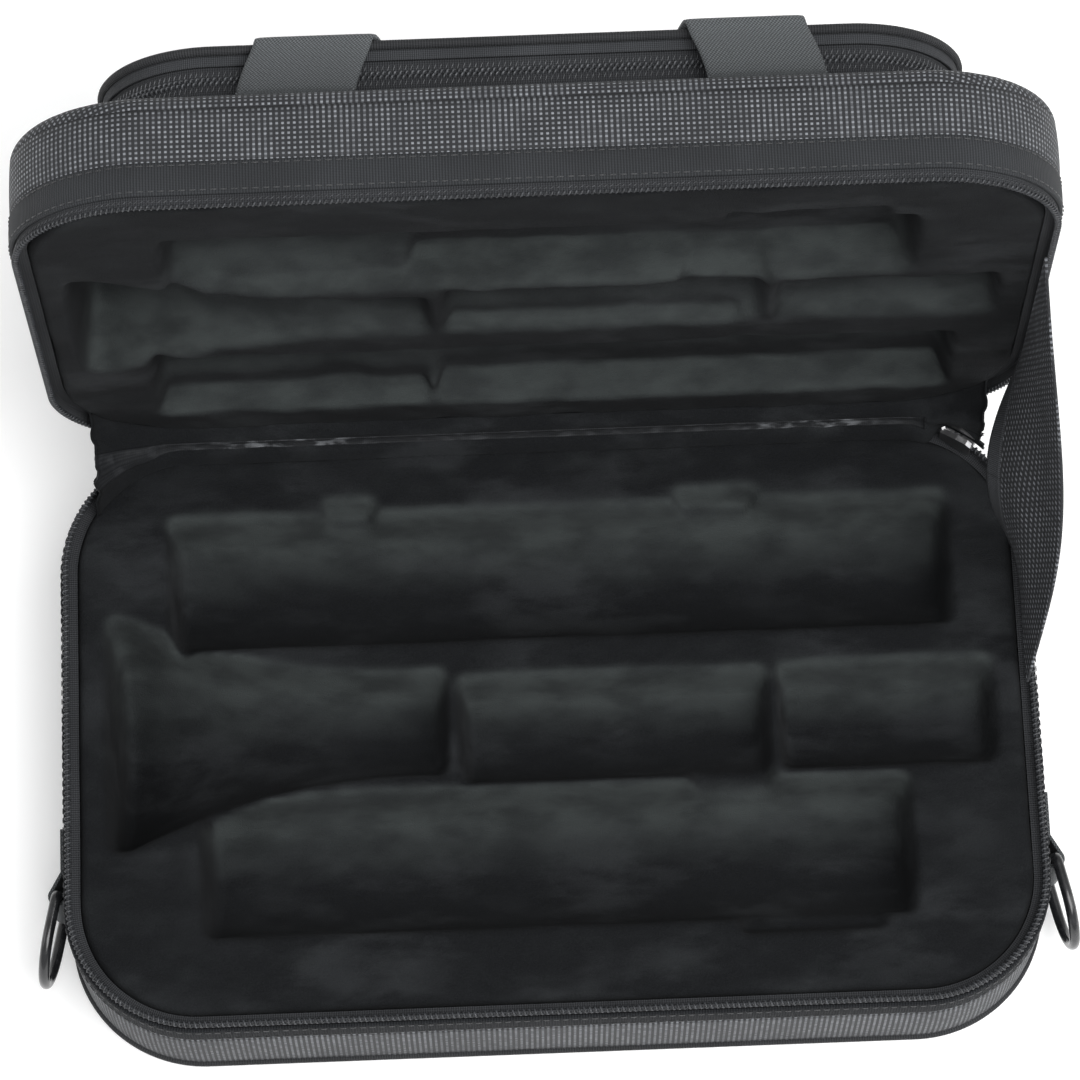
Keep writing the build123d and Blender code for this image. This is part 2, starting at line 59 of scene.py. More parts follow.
LID_HEIGHT = 40.0
CASE = (339.0, 212.0, 46.0, 0.0)        # width, depth, corner radius, centre along Y
POCKET = (280.0, 177.0, 38.0, 0.5)
POCKET_TOP = 60.0
CHAIN = 51.5                            # pocket zip, above the lid's rim plane
COVER = 1.2                             # thickness of the sewn cover
SEAM = 34.0                             # seam of the lid's panel
EDGE_RADIUS = 5.5
BAND = (4.8, 16.0)                      # trim band, from the zip line
TAPE = (0.9, 13.4)
TAPE_OUT = (-1.2, -2.0)
ROW_MIDDLE = (-1.6, 1.4)                # coil's middle: out from the wall, and from the zip line
ROW_HALF = (1.3, 0.9)
WIRE = 0.34
PITCH = 1.87
PLUSH_INSET = -5.8
LEVEL = 2.6                             # plush face below the zip line
REBATE = 9.0
WELL_AXIS = 5.0
TROUGHS = (                             # left, right, distance from the hinge, radius
    (-131.0, 141.0, 52.0, 23.0), (-121.0, 122.0, 155.0, 24.0),
    (-31.0, 75.0, 109.0, 18.0), (80.0, 153.0, 108.0, 18.0),
)
BELL_X = (-153.0, -147.0, -100.8, -37.0)
BELL_RADIUS = (40.5, 40.5, 23.5, 18.0)
BELL_BACK = 106.0
NOTCHES = (                             # distance from the hinge, radius, side, left, right
    (52.0, 23.0, 1, -77.0, -59.0), (52.0, 23.0, 1, 47.0, 75.0),
    (155.0, 24.0, 1, 48.0, 76.0), (155.0, 24.0, -1, 62.0, 112.0),
)
NOTCH_DEPTH = 13.0
NOTCH_REACH = 5.0
LEDGES = (                              # the lid's straight lower walls: distance, reach, left, right, depth
    (155.0, 23.5, -105.0, -42.0, 9.0), (155.0, 23.5, -42.0, 119.0, 18.0), (109.0, 18.0, -31.0, 68.0, 9.0),
    (52.0, 28.0, -131.0, -37.0, 12.0), (52.0, 28.0, -35.0, 141.0, 15.0),
)


# ---- the rounded outline -------------------------------------------------------------------------
def outline_keys(shape):
    """Ways along the outline at which a side or a corner starts, with the corner centres and headings there."""
    width, depth, radius, middle = shape
    a, b, arc = width / 2 - radius, depth / 2 - radius, math.pi * radius / 2
    way = np.cumsum([0, arc, 2 * b, arc, 2 * a, arc, 2 * b, arc, 2 * a])
    turn = np.radians([90, 180, 180, 270, 270, 360, 360, 450, 450])
    x = np.array([-a, -a, -a, -a, a, a, a, a, -a])
    y = np.array([b, b, -b, -b, -b, -b, b, b, b]) + middle
    return way, turn, x, y


def along_outline(shape, way):
    """Point = corner centre + radius times the heading; both run linearly with the way along the outline.

    The way starts at the rear left corner's hinge end and goes round left side, front and right side,
    then back along the rear.
    """
    keys, turn, x, y = outline_keys(shape)
    way = np.mod(way, keys[-1])
    heading = np.interp(way, keys, turn)
    normal = np.stack([np.cos(heading), np.sin(heading), np.zeros_like(heading)], -1)
    centre = np.stack([np.interp(way, keys, x), np.interp(way, keys, y), np.zeros_like(heading)], -1)
    return centre + shape[2] * normal, normal


def zip_span(shape):
    """The way at which the three-sided zip ends, at the rear right corner's hinge end."""
    return outline_keys(shape)[0][7]


def outline_offset(x, y, shape, grow=0.0):
    """Signed distance to the outline and its direction: distance to the inner rectangle, less the radius."""
    width, depth, radius, middle = shape
    px = np.abs(x) - (width / 2 - radius)
    py = np.abs(y - middle) - (depth / 2 - radius)
    out = np.hypot(np.maximum(px, 0), np.maximum(py, 0))
    distance = out + np.minimum(np.maximum(px, py), 0) - radius - grow
    safe = np.where(out > 0, out, 1)
    nx = np.sign(x) * np.where(out > 0, np.maximum(px, 0) / safe, px > py)
    ny = np.sign(y - middle) * np.where(out > 0, np.maximum(py, 0) / safe, py >= px)
    return distance, nx, ny


def steps(start, end, size):
    return np.linspace(start, end, max(2, int(round((end - start) / size)) + 1))


# ---- the two halves ---------------------------------------------------------------------------
def in_base(points):
    """(x, y, depth below the zip line) to the row frame."""
    return np.stack([points[..., 0], points[..., 1], BASE_HEIGHT - points[..., 2]], -1)


def in_lid(points):
    """(x, y, height over the lid's rim) to the row frame, lid upright: y' = hinge + height, z' = base + hinge - y."""
    return np.stack([points[..., 0], HINGE_Y + points[..., 2], BASE_HEIGHT + HINGE_Y - points[..., 1]], -1)


def as_is(points):
    return points


# ---- meshes -------------------------------------------------------------------------------------
def woven(points, uv, round_rows=False, round_columns=True, capped=True):
    """Quads between neighbours of a grid of points, with flat caps on the two open ends of a tube."""
    rows, cols = points.shape[:2]
    r, c = np.meshgrid(np.arange(rows - (not round_rows)), np.arange(cols - (not round_columns)), indexing="ij")

    def corners(wide, high=None):
        grid = [((r + i) % (high or rows + 2)) * wide + (c + j) % (wide if high else wide + 2)
                for i, j in ((0, 0), (1, 0), (1, 1), (0, 1))]
        return np.stack(grid, -1).reshape(-1, 4)

    faces = corners(cols, rows)
    tex = uv.reshape(-1, 2)[corners(uv.shape[1])]
    extra = []
    if capped and round_columns and not round_rows:
        ring = np.arange(cols)
        for loop in (ring[::-1], ring + (rows - 1) * cols):
            extra.append((loop, uv[0, :cols][loop % cols]))
    return dict(points=points.reshape(-1, 3), faces=faces, tex=tex, extra=extra)


def volume(patch):
    """Signed volume by the sum of the tetrahedra that the faces make with the origin."""
    p, f = patch["points"], patch["faces"]
    total = 0.0
    for a, b, c in ((0, 1, 2), (0, 2, 3)):
        total += np.einsum("ij,ij->i", p[f[:, a]], np.cross(p[f[:, b]], p[f[:, c]])).sum()
    for loop, _ in patch["extra"]:
        q = p[loop]
        total += np.einsum("ij,ij->i", np.cross(q[1:-1], q[2:]), np.broadcast_to(q[0], q[1:-1].shape)).sum()
    return total


def make(name, patches, material, body, place, replaces=()):
    """One mesh of closed patches, faces turned outwards, riding on a body."""
    points, faces, tex, smooth, start = [], [], [], [], 0
    for patch in patches:
        patch = dict(patch, points=place(patch["points"]))
        inside_out = volume(patch) < 0
        quads, uv = patch["faces"], patch["tex"]
        if inside_out:
            quads, uv = quads[:, ::-1], uv[:, ::-1]
        faces += (quads + start).tolist()
        tex.append(uv.reshape(-1, 2))
        for loop, loop_uv in patch["extra"]:
            if inside_out:
                loop, loop_uv = loop[::-1], loop_uv[::-1]
            faces.append((loop + start).tolist())
            tex.append(loop_uv)
        smooth += [True] * len(quads) + [False] * len(patch["extra"])
        points.append(patch["points"])
        start += len(patch["points"])
    mesh = bpy.data.meshes.new(name)
    mesh.from_pydata((np.concatenate(points) * MM).tolist(), [], faces)
    layer = mesh.uv_layers.new(name="cut")
    layer.uv.foreach_set("vector", (np.concatenate(tex) * MM).astype(np.float32).ravel())
    mesh.polygons.foreach_set("use_smooth", smooth)
    mesh.materials.append(material)
    # the plush's painted light share goes to a point attribute that its material reads
    if "painted_wall_light" in patches[0]:
        mesh.attributes.new("painted_wall_light", "FLOAT", "POINT").data.foreach_set("value", patches[0]["painted_wall_light"].astype(np.float32))
    mesh.update()
    piece = bpy.data.objects.new(name, mesh)
    bpy.context.scene.collection.objects.link(piece)
    if body:
        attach(piece, body)
    if replaces:
        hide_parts(*replaces)
    return piece


def rounded(corners, radius):
    """Closed section: each corner is a quadratic arc between points one radius along its sides."""
    p = np.array(corners, float)
    back, fore = np.roll(p, 1, 0) - p, np.roll(p, -1, 0) - p
    lengths = [np.linalg.norm(v, axis=1, keepdims=True) for v in (back, fore)]
    reach = [np.minimum(radius, length * 0.3) for length in lengths]
    a, b = (v / n for v, n in zip((back, fore), lengths))
    near, far = p + a * reach[0], p + b * reach[1]
    parts = [p + a * reach[0] * 1.6, near, (near + 2 * p + far) / 4, far, p + b * reach[1] * 1.6]
    return np.stack(parts, 1).reshape(-1, 2)


def circle(middle, radius, count=12):
    turn = np.arange(count) * 2 * math.pi / count
    return np.stack([middle[0] + radius * np.cos(turn), middle[1] + radius * np.sin(turn)], -1)


def swept(path, normal, side, section, way, closed=False):
    """Point = path + section's first number along the normal + its second along the side direction."""
    section = np.broadcast_to(section, (len(path),) + section.shape[-2:])
    grid = path[:, None] + section[..., :1] * normal[:, None] + section[..., 1:] * side[:, None]
    ring = np.concatenate([section[0], section[0][:1]])
    around = np.concatenate([[0], np.cumsum(np.linalg.norm(np.diff(ring, axis=0), axis=1))])
    if closed:
        gap = np.linalg.norm(path[0] - path[-1])
        way = np.concatenate([way, [way[-1] + gap]])
    uv = np.stack(np.meshgrid(way, around, indexing="ij"), -1)
    return woven(grid, uv, round_rows=closed)


def carried(shape, section, start=0.0, end=None, size=2.0):
    """A section (out, height) carried along the outline; without an end it goes all the way round."""
    whole = outline_keys(shape)[0][-1]
    closed = end is None
    way = steps(0, whole, size)[:-1] if closed else steps(start, end, size)
    path, normal = along_outline(shape, way)
    side = np.broadcast_to([0.0, 0.0, 1.0], path.shape)
    return swept(path, normal, side, section(way) if callable(section) else section, way, closed)


def bulging(low, high, swell, ripple=0.0, phase=0.0, count=9):
    """Wall section: its outer face swells by a sine over its height and ripples slowly along the way."""
    def section(way):
        share = np.linspace(0, 1, count)
        wave = np.sin(way / 13.1 + phase) + 0.6 * np.sin(way / 7.3 + 2 * phase)
        out = (swell + ripple * wave[:, None]) * np.sin(math.pi * share) ** 0.7
        heights = np.broadcast_to(low + (high - low) * share, out.shape)
        outer = np.stack([out, heights], -1)
        edge = [[-0.35, low - 0.02], [-COVER, low], [-COVER, high], [-0.35, high + 0.02]]
        inner = np.broadcast_to(edge, (len(way), 4, 2))
        return np.concatenate([outer, inner[:, 3:1:-1], inner[:, 1::-1]], 1)
    return section


def coil(shape, start, end, middle, rows=10, sides=5, reach=ROW_HALF):
    """Spring along the outline: centre line = outline + (a cos t, b sin t) across it, one turn for each pitch."""
    turns = int((end - start) / PITCH)
    t = np.linspace(0, 2 * math.pi * turns, turns * rows + 1)
    way = start + PITCH * t / (2 * math.pi)
    path, normal = along_outline(shape, way)
    up = np.array([0.0, 0.0, 1.0])
    a, b = reach[0] - WIRE, reach[1] - WIRE
    line = path + normal * (middle[0] + a * np.cos(t))[:, None] + up * (middle[1] + b * np.sin(t))[:, None]
    radial = normal * np.cos(t)[:, None] + up * np.sin(t)[:, None]
    ahead = np.gradient(line, axis=0)
    ahead /= np.linalg.norm(ahead, axis=1, keepdims=True)
    radial -= ahead * np.einsum("ij,ij->i", radial, ahead)[:, None]
    radial /= np.linalg.norm(radial, axis=1, keepdims=True)
    return swept(line, radial, np.cross(ahead, radial), circle((0, 0), WIRE, sides), way)


STITCH = np.array([[-1.0, 0.15], [-0.7, 0.8], [0.0, 1.0], [0.7, 0.8], [1.0, 0.15]])


def stitches(place, first, last, pitch=3.3, length=1.15, thread=0.3, slant=0.0, sides=5):
    """Sewn dashes: each is a spindle whose radius follows a five-point profile, laid by place(way, across, out)."""
    centres = np.arange(first, last, pitch)
    turn = np.arange(sides) * 2 * math.pi / sides
    along = centres[:, None, None] + STITCH[None, :, :1] * length + 0 * turn
    across = STITCH[None, :, 1:] * thread * np.cos(turn) + STITCH[None, :, :1] * slant + 0 * along
    out = STITCH[None, :, 1:] * thread * np.sin(turn) + 0 * along
    points = place(along, across, out)
    uv = np.zeros((len(STITCH), sides + 1, 2))
    return [woven(row, uv) for row in points]


def outline_stitches(shape, height, out, first, last, **sizes):
    def place(way, across, lift):
        path, normal = along_outline(shape, way)
        path = path + normal * (out + lift)[..., None]
        path[..., 2] += height + across
        return path
    return stitches(place, first, last, **sizes)


def joined(patches):
    """Many small patches as one, so that the mesh is put together in one go."""
    points, faces, tex, extra, start = [], [], [], [], 0
    for patch in patches:
        points.append(patch["points"])
        faces.append(patch["faces"] + start)
        tex.append(patch["tex"])
        extra += [(loop + start, uv) for loop, uv in patch["extra"]]
        start += len(patch["points"])
    return dict(points=np.concatenate(points), faces=np.concatenate(faces), tex=np.concatenate(tex), extra=extra)


# ---- a face that fills the outline -------------------------------------------------------------
def row_places(half, flat, radius, size):
    """Rows across the outline: even over the sides, and at even angles where the corners run in."""
    turn = np.radians(np.arange(57, 90.1, 3))
    body = steps(0, flat + radius * math.sin(math.radians(54)), size)
    side = np.concatenate([body, flat + radius * np.sin(turn)])
    side[-1] = half
    return np.concatenate([-side[:0:-1], side])


def filled(shape, grow, size, border=0.0, fine=0.0):
    """Grid over the outline: x = share times the half width of its row, finer near the border."""
    width, depth, radius, middle = shape
    a, b, radius = width / 2 - radius, depth / 2 - radius, radius + grow
    y = row_places(b + radius, b, radius, size)
    half = a + np.sqrt(np.maximum(radius ** 2 - np.maximum(np.abs(y) - b, 0) ** 2, 0))
    share = steps(-1, 1, size / (a + radius))
    if border:
        rim = np.arange(0, border, fine) / (a + radius)
        share = np.unique(np.round(np.concatenate([share, -1 + rim, 1 - rim]), 5))
        extra = b + radius - np.arange(0, border, fine)
        y = np.unique(np.round(np.concatenate([y, extra, -extra]), 4))
        half = a + np.sqrt(np.maximum(radius ** 2 - np.maximum(np.abs(y) - b, 0) ** 2, 0))
    return half[:, None] * share[None, :], np.broadcast_to(y[:, None] + middle, (len(y), len(share)))


def skirted(x, y, height, shape, skirt, flat=None):
    """The face's grid, then rings round its border at (out, height) steps, and one flat face that closes it."""
    rows, cols = x.shape
    index = np.arange(rows * cols).reshape(rows, cols)
    rim = np.concatenate([index[0, :-1], index[:-1, -1], index[-1, :0:-1], index[:0:-1, 0]])
    points = np.stack([x, y, height], -1).reshape(-1, 3)
    uv = np.stack([x, y] if flat is None else flat, -1).reshape(-1, 2)
    patch = woven(np.stack([x, y, height], -1), uv.reshape(rows, cols, 2), round_columns=False, capped=False)
    _, nx, ny = outline_offset(points[rim, 0], points[rim, 1], shape)
    normal = np.stack([nx, ny], -1)
    length = len(rim)
    loops, all_points, all_uv = [rim], [points], [uv]
    way = 0.0
    last = points[rim].copy()
    for out, level in skirt:
        ring = points[rim].copy()
        ring[:, :2] += normal * out
        ring[:, 2] = level
        way = way + np.linalg.norm(ring - last, axis=1).mean()
        last = ring
        loops.append(len(points) + (len(loops) - 1) * length + np.arange(length))
        all_points.append(ring)
        all_uv.append(uv[rim] + normal * way)
    uv = np.concatenate(all_uv)
    sides = [np.stack([one, two, np.roll(two, -1), np.roll(one, -1)], -1) for one, two in zip(loops, loops[1:])]
    sides = np.concatenate(sides)
    faces = np.concatenate([patch["faces"][:, ::-1], sides])
    return dict(points=np.concatenate(all_points), faces=faces, tex=uv[faces], extra=[(loops[-1], uv[loops[-1]])])


# ---- plush with its pressed wells ---------------------------------------------------------------
RASTER = (-172.0, -110.0)
X, Y = np.meshgrid(np.arange(RASTER[0], 172.5), np.arange(RASTER[1], 110.5))
random = np.random.default_rng(7)


def soften(field, sigma):
    """Gaussian blur: sum of shifted copies along X, then along Y, each with its bell-curve weight."""
    reach = int(3 * sigma) + 1
    weights = np.exp(-0.5 * (np.arange(-reach, reach + 1) / sigma) ** 2)
    weights /= weights.sum()
    for axis in (0, 1):
        padded = np.pad(field, [(reach, reach) if k == axis else (0, 0) for k in (0, 1)], mode="edge")
        slices = [np.take(padded, range(k, k + field.shape[axis]), axis) for k in range(2 * reach + 1)]
        field = np.tensordot(weights, np.stack(slices), 1)
    return field


def unrest(sigma, stretch=1.0):
    """Smooth random field of unit spread: blurred noise over its standard deviation."""
    field = soften(random.standard_normal(X.shape), sigma)
    return field / field.std()


def bell_radius(x):
    """Mouth, then the circle through mouth, waist and neck."""
    (x1, x2, x3), (r1, r2, r3) = BELL_X[1:], BELL_RADIUS[1:]
    d = 2 * (x1 * (r2 - r3) + x2 * (r3 - r1) + x3 * (r1 - r2))
    s1, s2, s3 = x1 ** 2 + r1 ** 2, x2 ** 2 + r2 ** 2, x3 ** 2 + r3 ** 2
    ux = (s1 * (r2 - r3) + s2 * (r3 - r1) + s3 * (r1 - r2)) / d
    uy = (s1 * (x3 - x2) + s2 * (x1 - x3) + s3 * (x2 - x1)) / d
    reach = math.hypot(x1 - ux, r1 - uy)
    flare = uy - np.sqrt(np.maximum(reach ** 2 - (x - ux) ** 2, 0))
    return np.where(x < x1, r1, flare)


def pressed_wells(axis, ledges):
    """Depth below the rim: the level, or in a well the axis depth + sqrt(radius^2 - distance^2)."""
    depth = np.full(X.shape, LEVEL)

    def press(inside, bottom):
        np.maximum(depth, np.where(inside, bottom, LEVEL), out=depth)

    for left, right, back, radius in TROUGHS:
        across = np.abs(Y - (HINGE_Y - back))
        press((X > left) & (X < right) & (across < radius), axis + np.sqrt(np.maximum(radius ** 2 - across ** 2, 0)))
    across = np.abs(Y - (HINGE_Y - BELL_BACK))
    radius = bell_radius(X)
    inside = (X > BELL_X[0]) & (X < BELL_X[3]) & (across < radius)
    press(inside, axis + np.sqrt(np.maximum(radius ** 2 - across ** 2, 0)))
    for back, radius, side, left, right in NOTCHES:
        across = side * (Y - (HINGE_Y - back))
        press((X > left) & (X < right) & (across > 0) & (across < radius + NOTCH_REACH), NOTCH_DEPTH)
    for back, reach, left, right, deep in ledges:
        across = Y - (HINGE_Y - back)
        press((X > left) & (X < right) & (across > 0) & (across < reach), deep)
    return depth


def sampled(field, x, y):
    """Bilinear reading of a field on the raster."""
    fx, fy = x - RASTER[0], y - RASTER[1]
    i, j = np.floor(fy).astype(int), np.floor(fx).astype(int)
    u, v = fx - j, fy - i
    return (field[i, j] * (1 - u) * (1 - v) + field[i, j + 1] * u * (1 - v)
            + field[i + 1, j] * (1 - u) * v + field[i + 1, j + 1] * u * v)


def plush(axis, skirt, ledges):
    """Wells softened as cloth over foam, uneven by two random fields, rolled down at the border by a quarter round.

    Each point also gets its painted wall light, 0 to 1: how steeply the face falls away from the hinge there. The
    plush's material colours such walls lighter: painted light, standing in for light on the up-facing walls of the open
    lid's recesses.
    """
    field = soften(pressed_wells(axis, ledges), 1.5) + 0.28 * unrest(5.0) + 0.12 * unrest(2.2)
    x, y = filled(CASE, PLUSH_INSET, 1.3)
    roll = 2.6
    inward = np.clip(-outline_offset(x, y, CASE, PLUSH_INSET)[0], 0, roll)
    edge = roll - np.sqrt(roll ** 2 - (roll - inward) ** 2)
    height = np.maximum(sampled(field, x, y), 1.4) + edge
    # painted light share: steep walls falling away from the hinge get a lighter plush colour
    fall = np.clip(-sampled(np.gradient(soften(field, 1.0), axis=0), x, y) / 1.2, 0, 1)
    patch = skirted(x, y, height, CASE, skirt)
    patch["painted_wall_light"] = np.concatenate([fall.ravel(), np.zeros(len(patch["points"]) - fall.size)])
    return patch


# ---- materials ----------------------------------------------------------------------------------
class Finish:
    """A material and short ways to add the nodes of its pattern."""

    def __init__(self, name, colour, rough, sheen=0.0, metallic=0.0, sheen_rough=0.5, coat=0.0, specular=0.5):
        self.material = bpy.data.materials.new(name)
        self.material.use_nodes = True
        self.tree = self.material.node_tree
        self.shader = self.tree.nodes["Principled BSDF"]
        values = {"Base Color": (*colour, 1), "Roughness": rough, "Metallic": metallic, "Sheen Weight": sheen,
                  "Sheen Roughness": sheen_rough, "Coat Weight": coat, "Specular IOR Level": specular}
        for socket, value in values.items():
            self.shader.inputs[socket].default_value = value

    def node(self, kind, settings=(), **inputs):
        made = self.tree.nodes.new("ShaderNode" + kind)
        for key, value in dict(settings).items():
            setattr(made, key, value)
        for key, value in inputs.items():
            self.feed(made.inputs[int(key[1:]) if key[1:].isdigit() else key.replace("_", " ")], value)
        return made

    def feed(self, socket, value):
        if isinstance(value, bpy.types.NodeSocket):
            self.tree.links.new(value, socket)
        else:
            socket.default_value = value

    def sum(self, kind, a, b=0.0, c=0.0):
        return self.node("Math", {"operation": kind}, i0=a, i1=b, i2=c).outputs[0]

    def ramp(self, value, low, high, start=0.0, end=1.0):
        made = self.node("MapRange", {"interpolation_type": "SMOOTHSTEP"}, Value=value)
        for socket, number in zip(("From Min", "From Max", "To Min", "To Max"), (low, high, start, end)):
            made.inputs[socket].default_value = number
        return made.outputs[0]

    def mix(self, share, one, two):
        made = self.node("Mix", {"data_type": "RGBA"})
        self.feed(made.inputs[0], share)
        self.feed(made.inputs[6], one if isinstance(one, bpy.types.NodeSocket) else (*one, 1))
        self.feed(made.inputs[7], two if isinstance(two, bpy.types.NodeSocket) else (*two, 1))
        return made.outputs[2]

    def place(self, stretch=(1000, 1000, 1000), kind="UV"):
        """Coordinates in millimetres, from the cut's UV map or from the piece's own frame."""
        source = self.node("TexCoord").outputs[kind]
        made = self.node("Mapping", Vector=source)
        made.inputs["Scale"].default_value = stretch
        return made.outputs[0]

    def parts(self, vector):
        return self.node("SeparateXYZ", Vector=vector).outputs

    def noise(self, scale, detail=3.0, stretch=(1000, 1000, 1000), kind="Object", rough=0.5):
        made = self.node("TexNoise", Vector=self.place(stretch, kind))
        for socket, number in (("Scale", scale), ("Detail", detail), ("Roughness", rough)):
            made.inputs[socket].default_value = number
        return made.outputs[0]

    def bump(self, height, distance, strength=1.0, below=None):
        made = self.node("Bump", Height=height)
        made.inputs["Strength"].default_value = strength
        made.inputs["Distance"].default_value = distance
        if below is not None:
            self.tree.links.new(below, made.inputs["Normal"])
        return made.outputs[0]

    def give(self, colour=None, rough=None, normal=None):
        for socket, value in (("Base Color", colour), ("Roughness", rough), ("Normal", normal)):
            if value is not None:
                self.tree.links.new(value, self.shader.inputs[socket])
        return self.material

    def wave(self, coordinate, pitch, phase=0.0):
        """Half a cosine wave from 0 to 1 with the given pitch in millimetres."""
        angle = self.sum("MULTIPLY_ADD", coordinate, 2 * math.pi / pitch, phase)
        return self.sum("MULTIPLY_ADD", self.sum("COSINE", angle), 0.5, 0.5)


def dotted_nylon(name="dotted nylon", dark=(0.017, 0.018, 0.0205), light=(0.245, 0.258, 0.28), u=1.85, v=1.7,
                 staggered=False):
    """Black ground with a grid of grey floats: brightness is the product of two smoothed waves, cell by cell uneven.

    Staggered, the two waves run along y / v + x / 2u and y / v - x / 2u, which shifts every second row by half.
    """
    f = Finish(name, dark, 0.62, sheen=0.02, specular=0.35)
    x, y, _ = f.parts(f.place())
    if staggered:
        a, b = f.sum("DIVIDE", y, v), f.sum("DIVIDE", x, 2 * u)
        grid = f.sum("MULTIPLY", f.ramp(f.wave(f.sum("ADD", a, b), 1), 0.3, 0.85), f.ramp(f.wave(f.sum("SUBTRACT", a, b), 1), 0.3, 0.85))
    else:
        grid = f.sum("MULTIPLY", f.ramp(f.wave(x, u), 0.32, 0.8), f.ramp(f.wave(y, v), 0.32, 0.8))
    cell = f.node("CombineXYZ", X=f.sum("ROUND", f.sum("DIVIDE", x, u)), Y=f.sum("ROUND", f.sum("DIVIDE", y, v)))
    chance = f.node("TexWhiteNoise", {"noise_dimensions": "2D"}, Vector=cell.outputs[0]).outputs[0]
    column = f.sum("MULTIPLY", f.ramp(f.wave(x, u), 0.35, 0.9), f.ramp(f.noise(0.045, 2.0), 0.42, 0.62, 0.0, 0.0 if staggered else 0.24))
    share = f.sum("MAXIMUM", f.sum("MULTIPLY", grid, f.ramp(chance, 0, 1, 0.55, 1.0)), column)
    share = f.sum("MULTIPLY", share, f.ramp(f.noise(0.02, 2.0), 0.3, 0.7, 0.78, 1.0))
    thread = f.sum("MULTIPLY", f.wave(x, u / 3), f.wave(y, v / 3))
    colour = f.mix(share, dark, light)
    height = f.sum("ADD", f.sum("MULTIPLY", grid, 0.7), f.sum("MULTIPLY", thread, 0.3))
    return f.give(colour, f.ramp(share, 0, 1, 0.72, 0.5), f.bump(height, 0.00028, 0.8))


def ribbed_cloth(name, dark, light, pitch=0.95, across=0.55, depth=0.0002, rough=0.75, sheen=0.02, specular=0.25):
    """Fine ribs across the band, crossed by finer threads, with slow patches of a lighter tone."""
    f = Finish(name, dark, rough, sheen=sheen, specular=specular)
    x, y, _ = f.parts(f.place())
    rib, thread = f.wave(x, pitch), f.wave(y, across)
    patch = f.noise(0.035, 3.0, kind="UV")
    share = f.sum("MULTIPLY", f.sum("MULTIPLY_ADD", rib, 0.6, f.sum("MULTIPLY", thread, 0.4)), f.ramp(patch, 0.3, 0.7, 0.6, 1.0))
    height = f.sum("MULTIPLY_ADD", thread, 0.35, rib)
    return f.give(f.mix(share, dark, light), None, f.bump(height, depth, 0.8))


def flat_webbing(name, dark, light, pitch=1.15, rough=0.6):
    """Plain weave: two checkered waves, each thread lifted where the other dips; paler towards the back along Y,
    painted light where the strap turns over, and painted shade nearer the lid.
    """
    f = Finish(name, dark, rough, sheen=0.04, specular=0.3)
    x, y, _ = f.parts(f.place())
    a = f.sum("MULTIPLY", f.wave(x, pitch), f.wave(y, pitch))
    b = f.sum("MULTIPLY", f.wave(x, pitch, math.pi), f.wave(y, pitch, math.pi))
    weave = f.sum("ADD", a, b)
    fuzz = f.noise(1.6, 4.0, kind="UV")
    # painted light and shade: the webbing is darker at Y 149 mm and paler by Y 169 mm, where the strap turns over
    # towards the light
    wear_and_painted_light = f.ramp(f.parts(f.place(kind="Object"))[1], 149, 169, 0.62, 1.0)
    share = f.sum("MULTIPLY", f.sum("MULTIPLY", weave, f.ramp(fuzz, 0.25, 0.75, 0.55, 1.0)), wear_and_painted_light)
    return f.give(f.mix(share, dark, light), None, f.bump(weave, 0.00025, 0.9))


def short_plush():
    """Near-black pile with smeared patches and a fine pile; walls that fall away from the hinge are painted lighter,
    painted light on up-facing walls.
    """
    f = Finish("black plush", (0.012, 0.013, 0.014), 0.95, sheen=0.015, sheen_rough=0.4, specular=0.05)
    smear = f.noise(0.055, 4.0, (420, 1000, 1000), rough=0.6)
    patch = f.noise(0.021, 2.0)
    share = f.sum("MULTIPLY", f.ramp(smear, 0.42, 0.64), f.ramp(patch, 0.38, 0.62, 0.2, 1.0))
    pile = f.noise(1.9, 3.0, rough=0.7)
    tone = f.sum("MULTIPLY_ADD", f.ramp(pile, 0.35, 0.7), 0.3, f.sum("MULTIPLY", share, 0.7))
    flat = f.mix(tone, (0.0085, 0.0091, 0.0101), (0.0245, 0.0263, 0.0283))
    # painted light: the attribute mixes in the pale wall colour below, lighter where the face falls away from the hinge
    painted_wall_light = f.node("Attribute", {"attribute_name": "painted_wall_light"}).outputs["Fac"]
    streak = f.ramp(f.noise(0.09, 3.0, (600, 1000, 1000)), 0.3, 0.7, 0.45, 1.0)
    colour = f.mix(f.sum("MULTIPLY", painted_wall_light, streak), flat, (0.046, 0.052, 0.052))
    soft = f.bump(smear, 0.0012, 0.5)
    return f.give(colour, None, f.bump(pile, 0.0006, 0.9, soft))


def coil_nylon(name, dark, light):
    """Drawn nylon wire: a soft gloss, and a tone that changes along the row."""
    f = Finish(name, dark, 0.38, specular=0.45)
    shade = f.noise(0.8, 2.0)
    return f.give(f.mix(f.ramp(shade, 0.3, 0.7), dark, light),
                  f.ramp(shade, 0.3, 0.7, 0.42, 0.25))


def metal(name, dark, light, rough, metallic=1.0, coat=0.0):
    """Plated or enamelled metal: soft scuffs in the roughness, and a lighter tone of wear laid in by slow noise."""
    f = Finish(name, dark, rough, metallic=metallic, coat=coat)
    scuff = f.noise(0.5, 2.0, (1000, 400, 1000))
    # here the lighter share is wear in random patches
    wear_and_painted_light = f.ramp(f.noise(0.22, 2.0), 0.35, 0.8)
    return f.give(f.mix(wear_and_painted_light, dark, light), f.ramp(scuff, 0.3, 0.75, rough * 0.9, rough * 1.15))


def thread(name, dark, light):
    f = Finish(name, dark, 0.55, sheen=0.2)
    ply = f.noise(2.2, 2.0)
    return f.give(f.mix(f.ramp(ply, 0.3, 0.7), dark, light), None, f.bump(ply, 0.0001, 0.7))


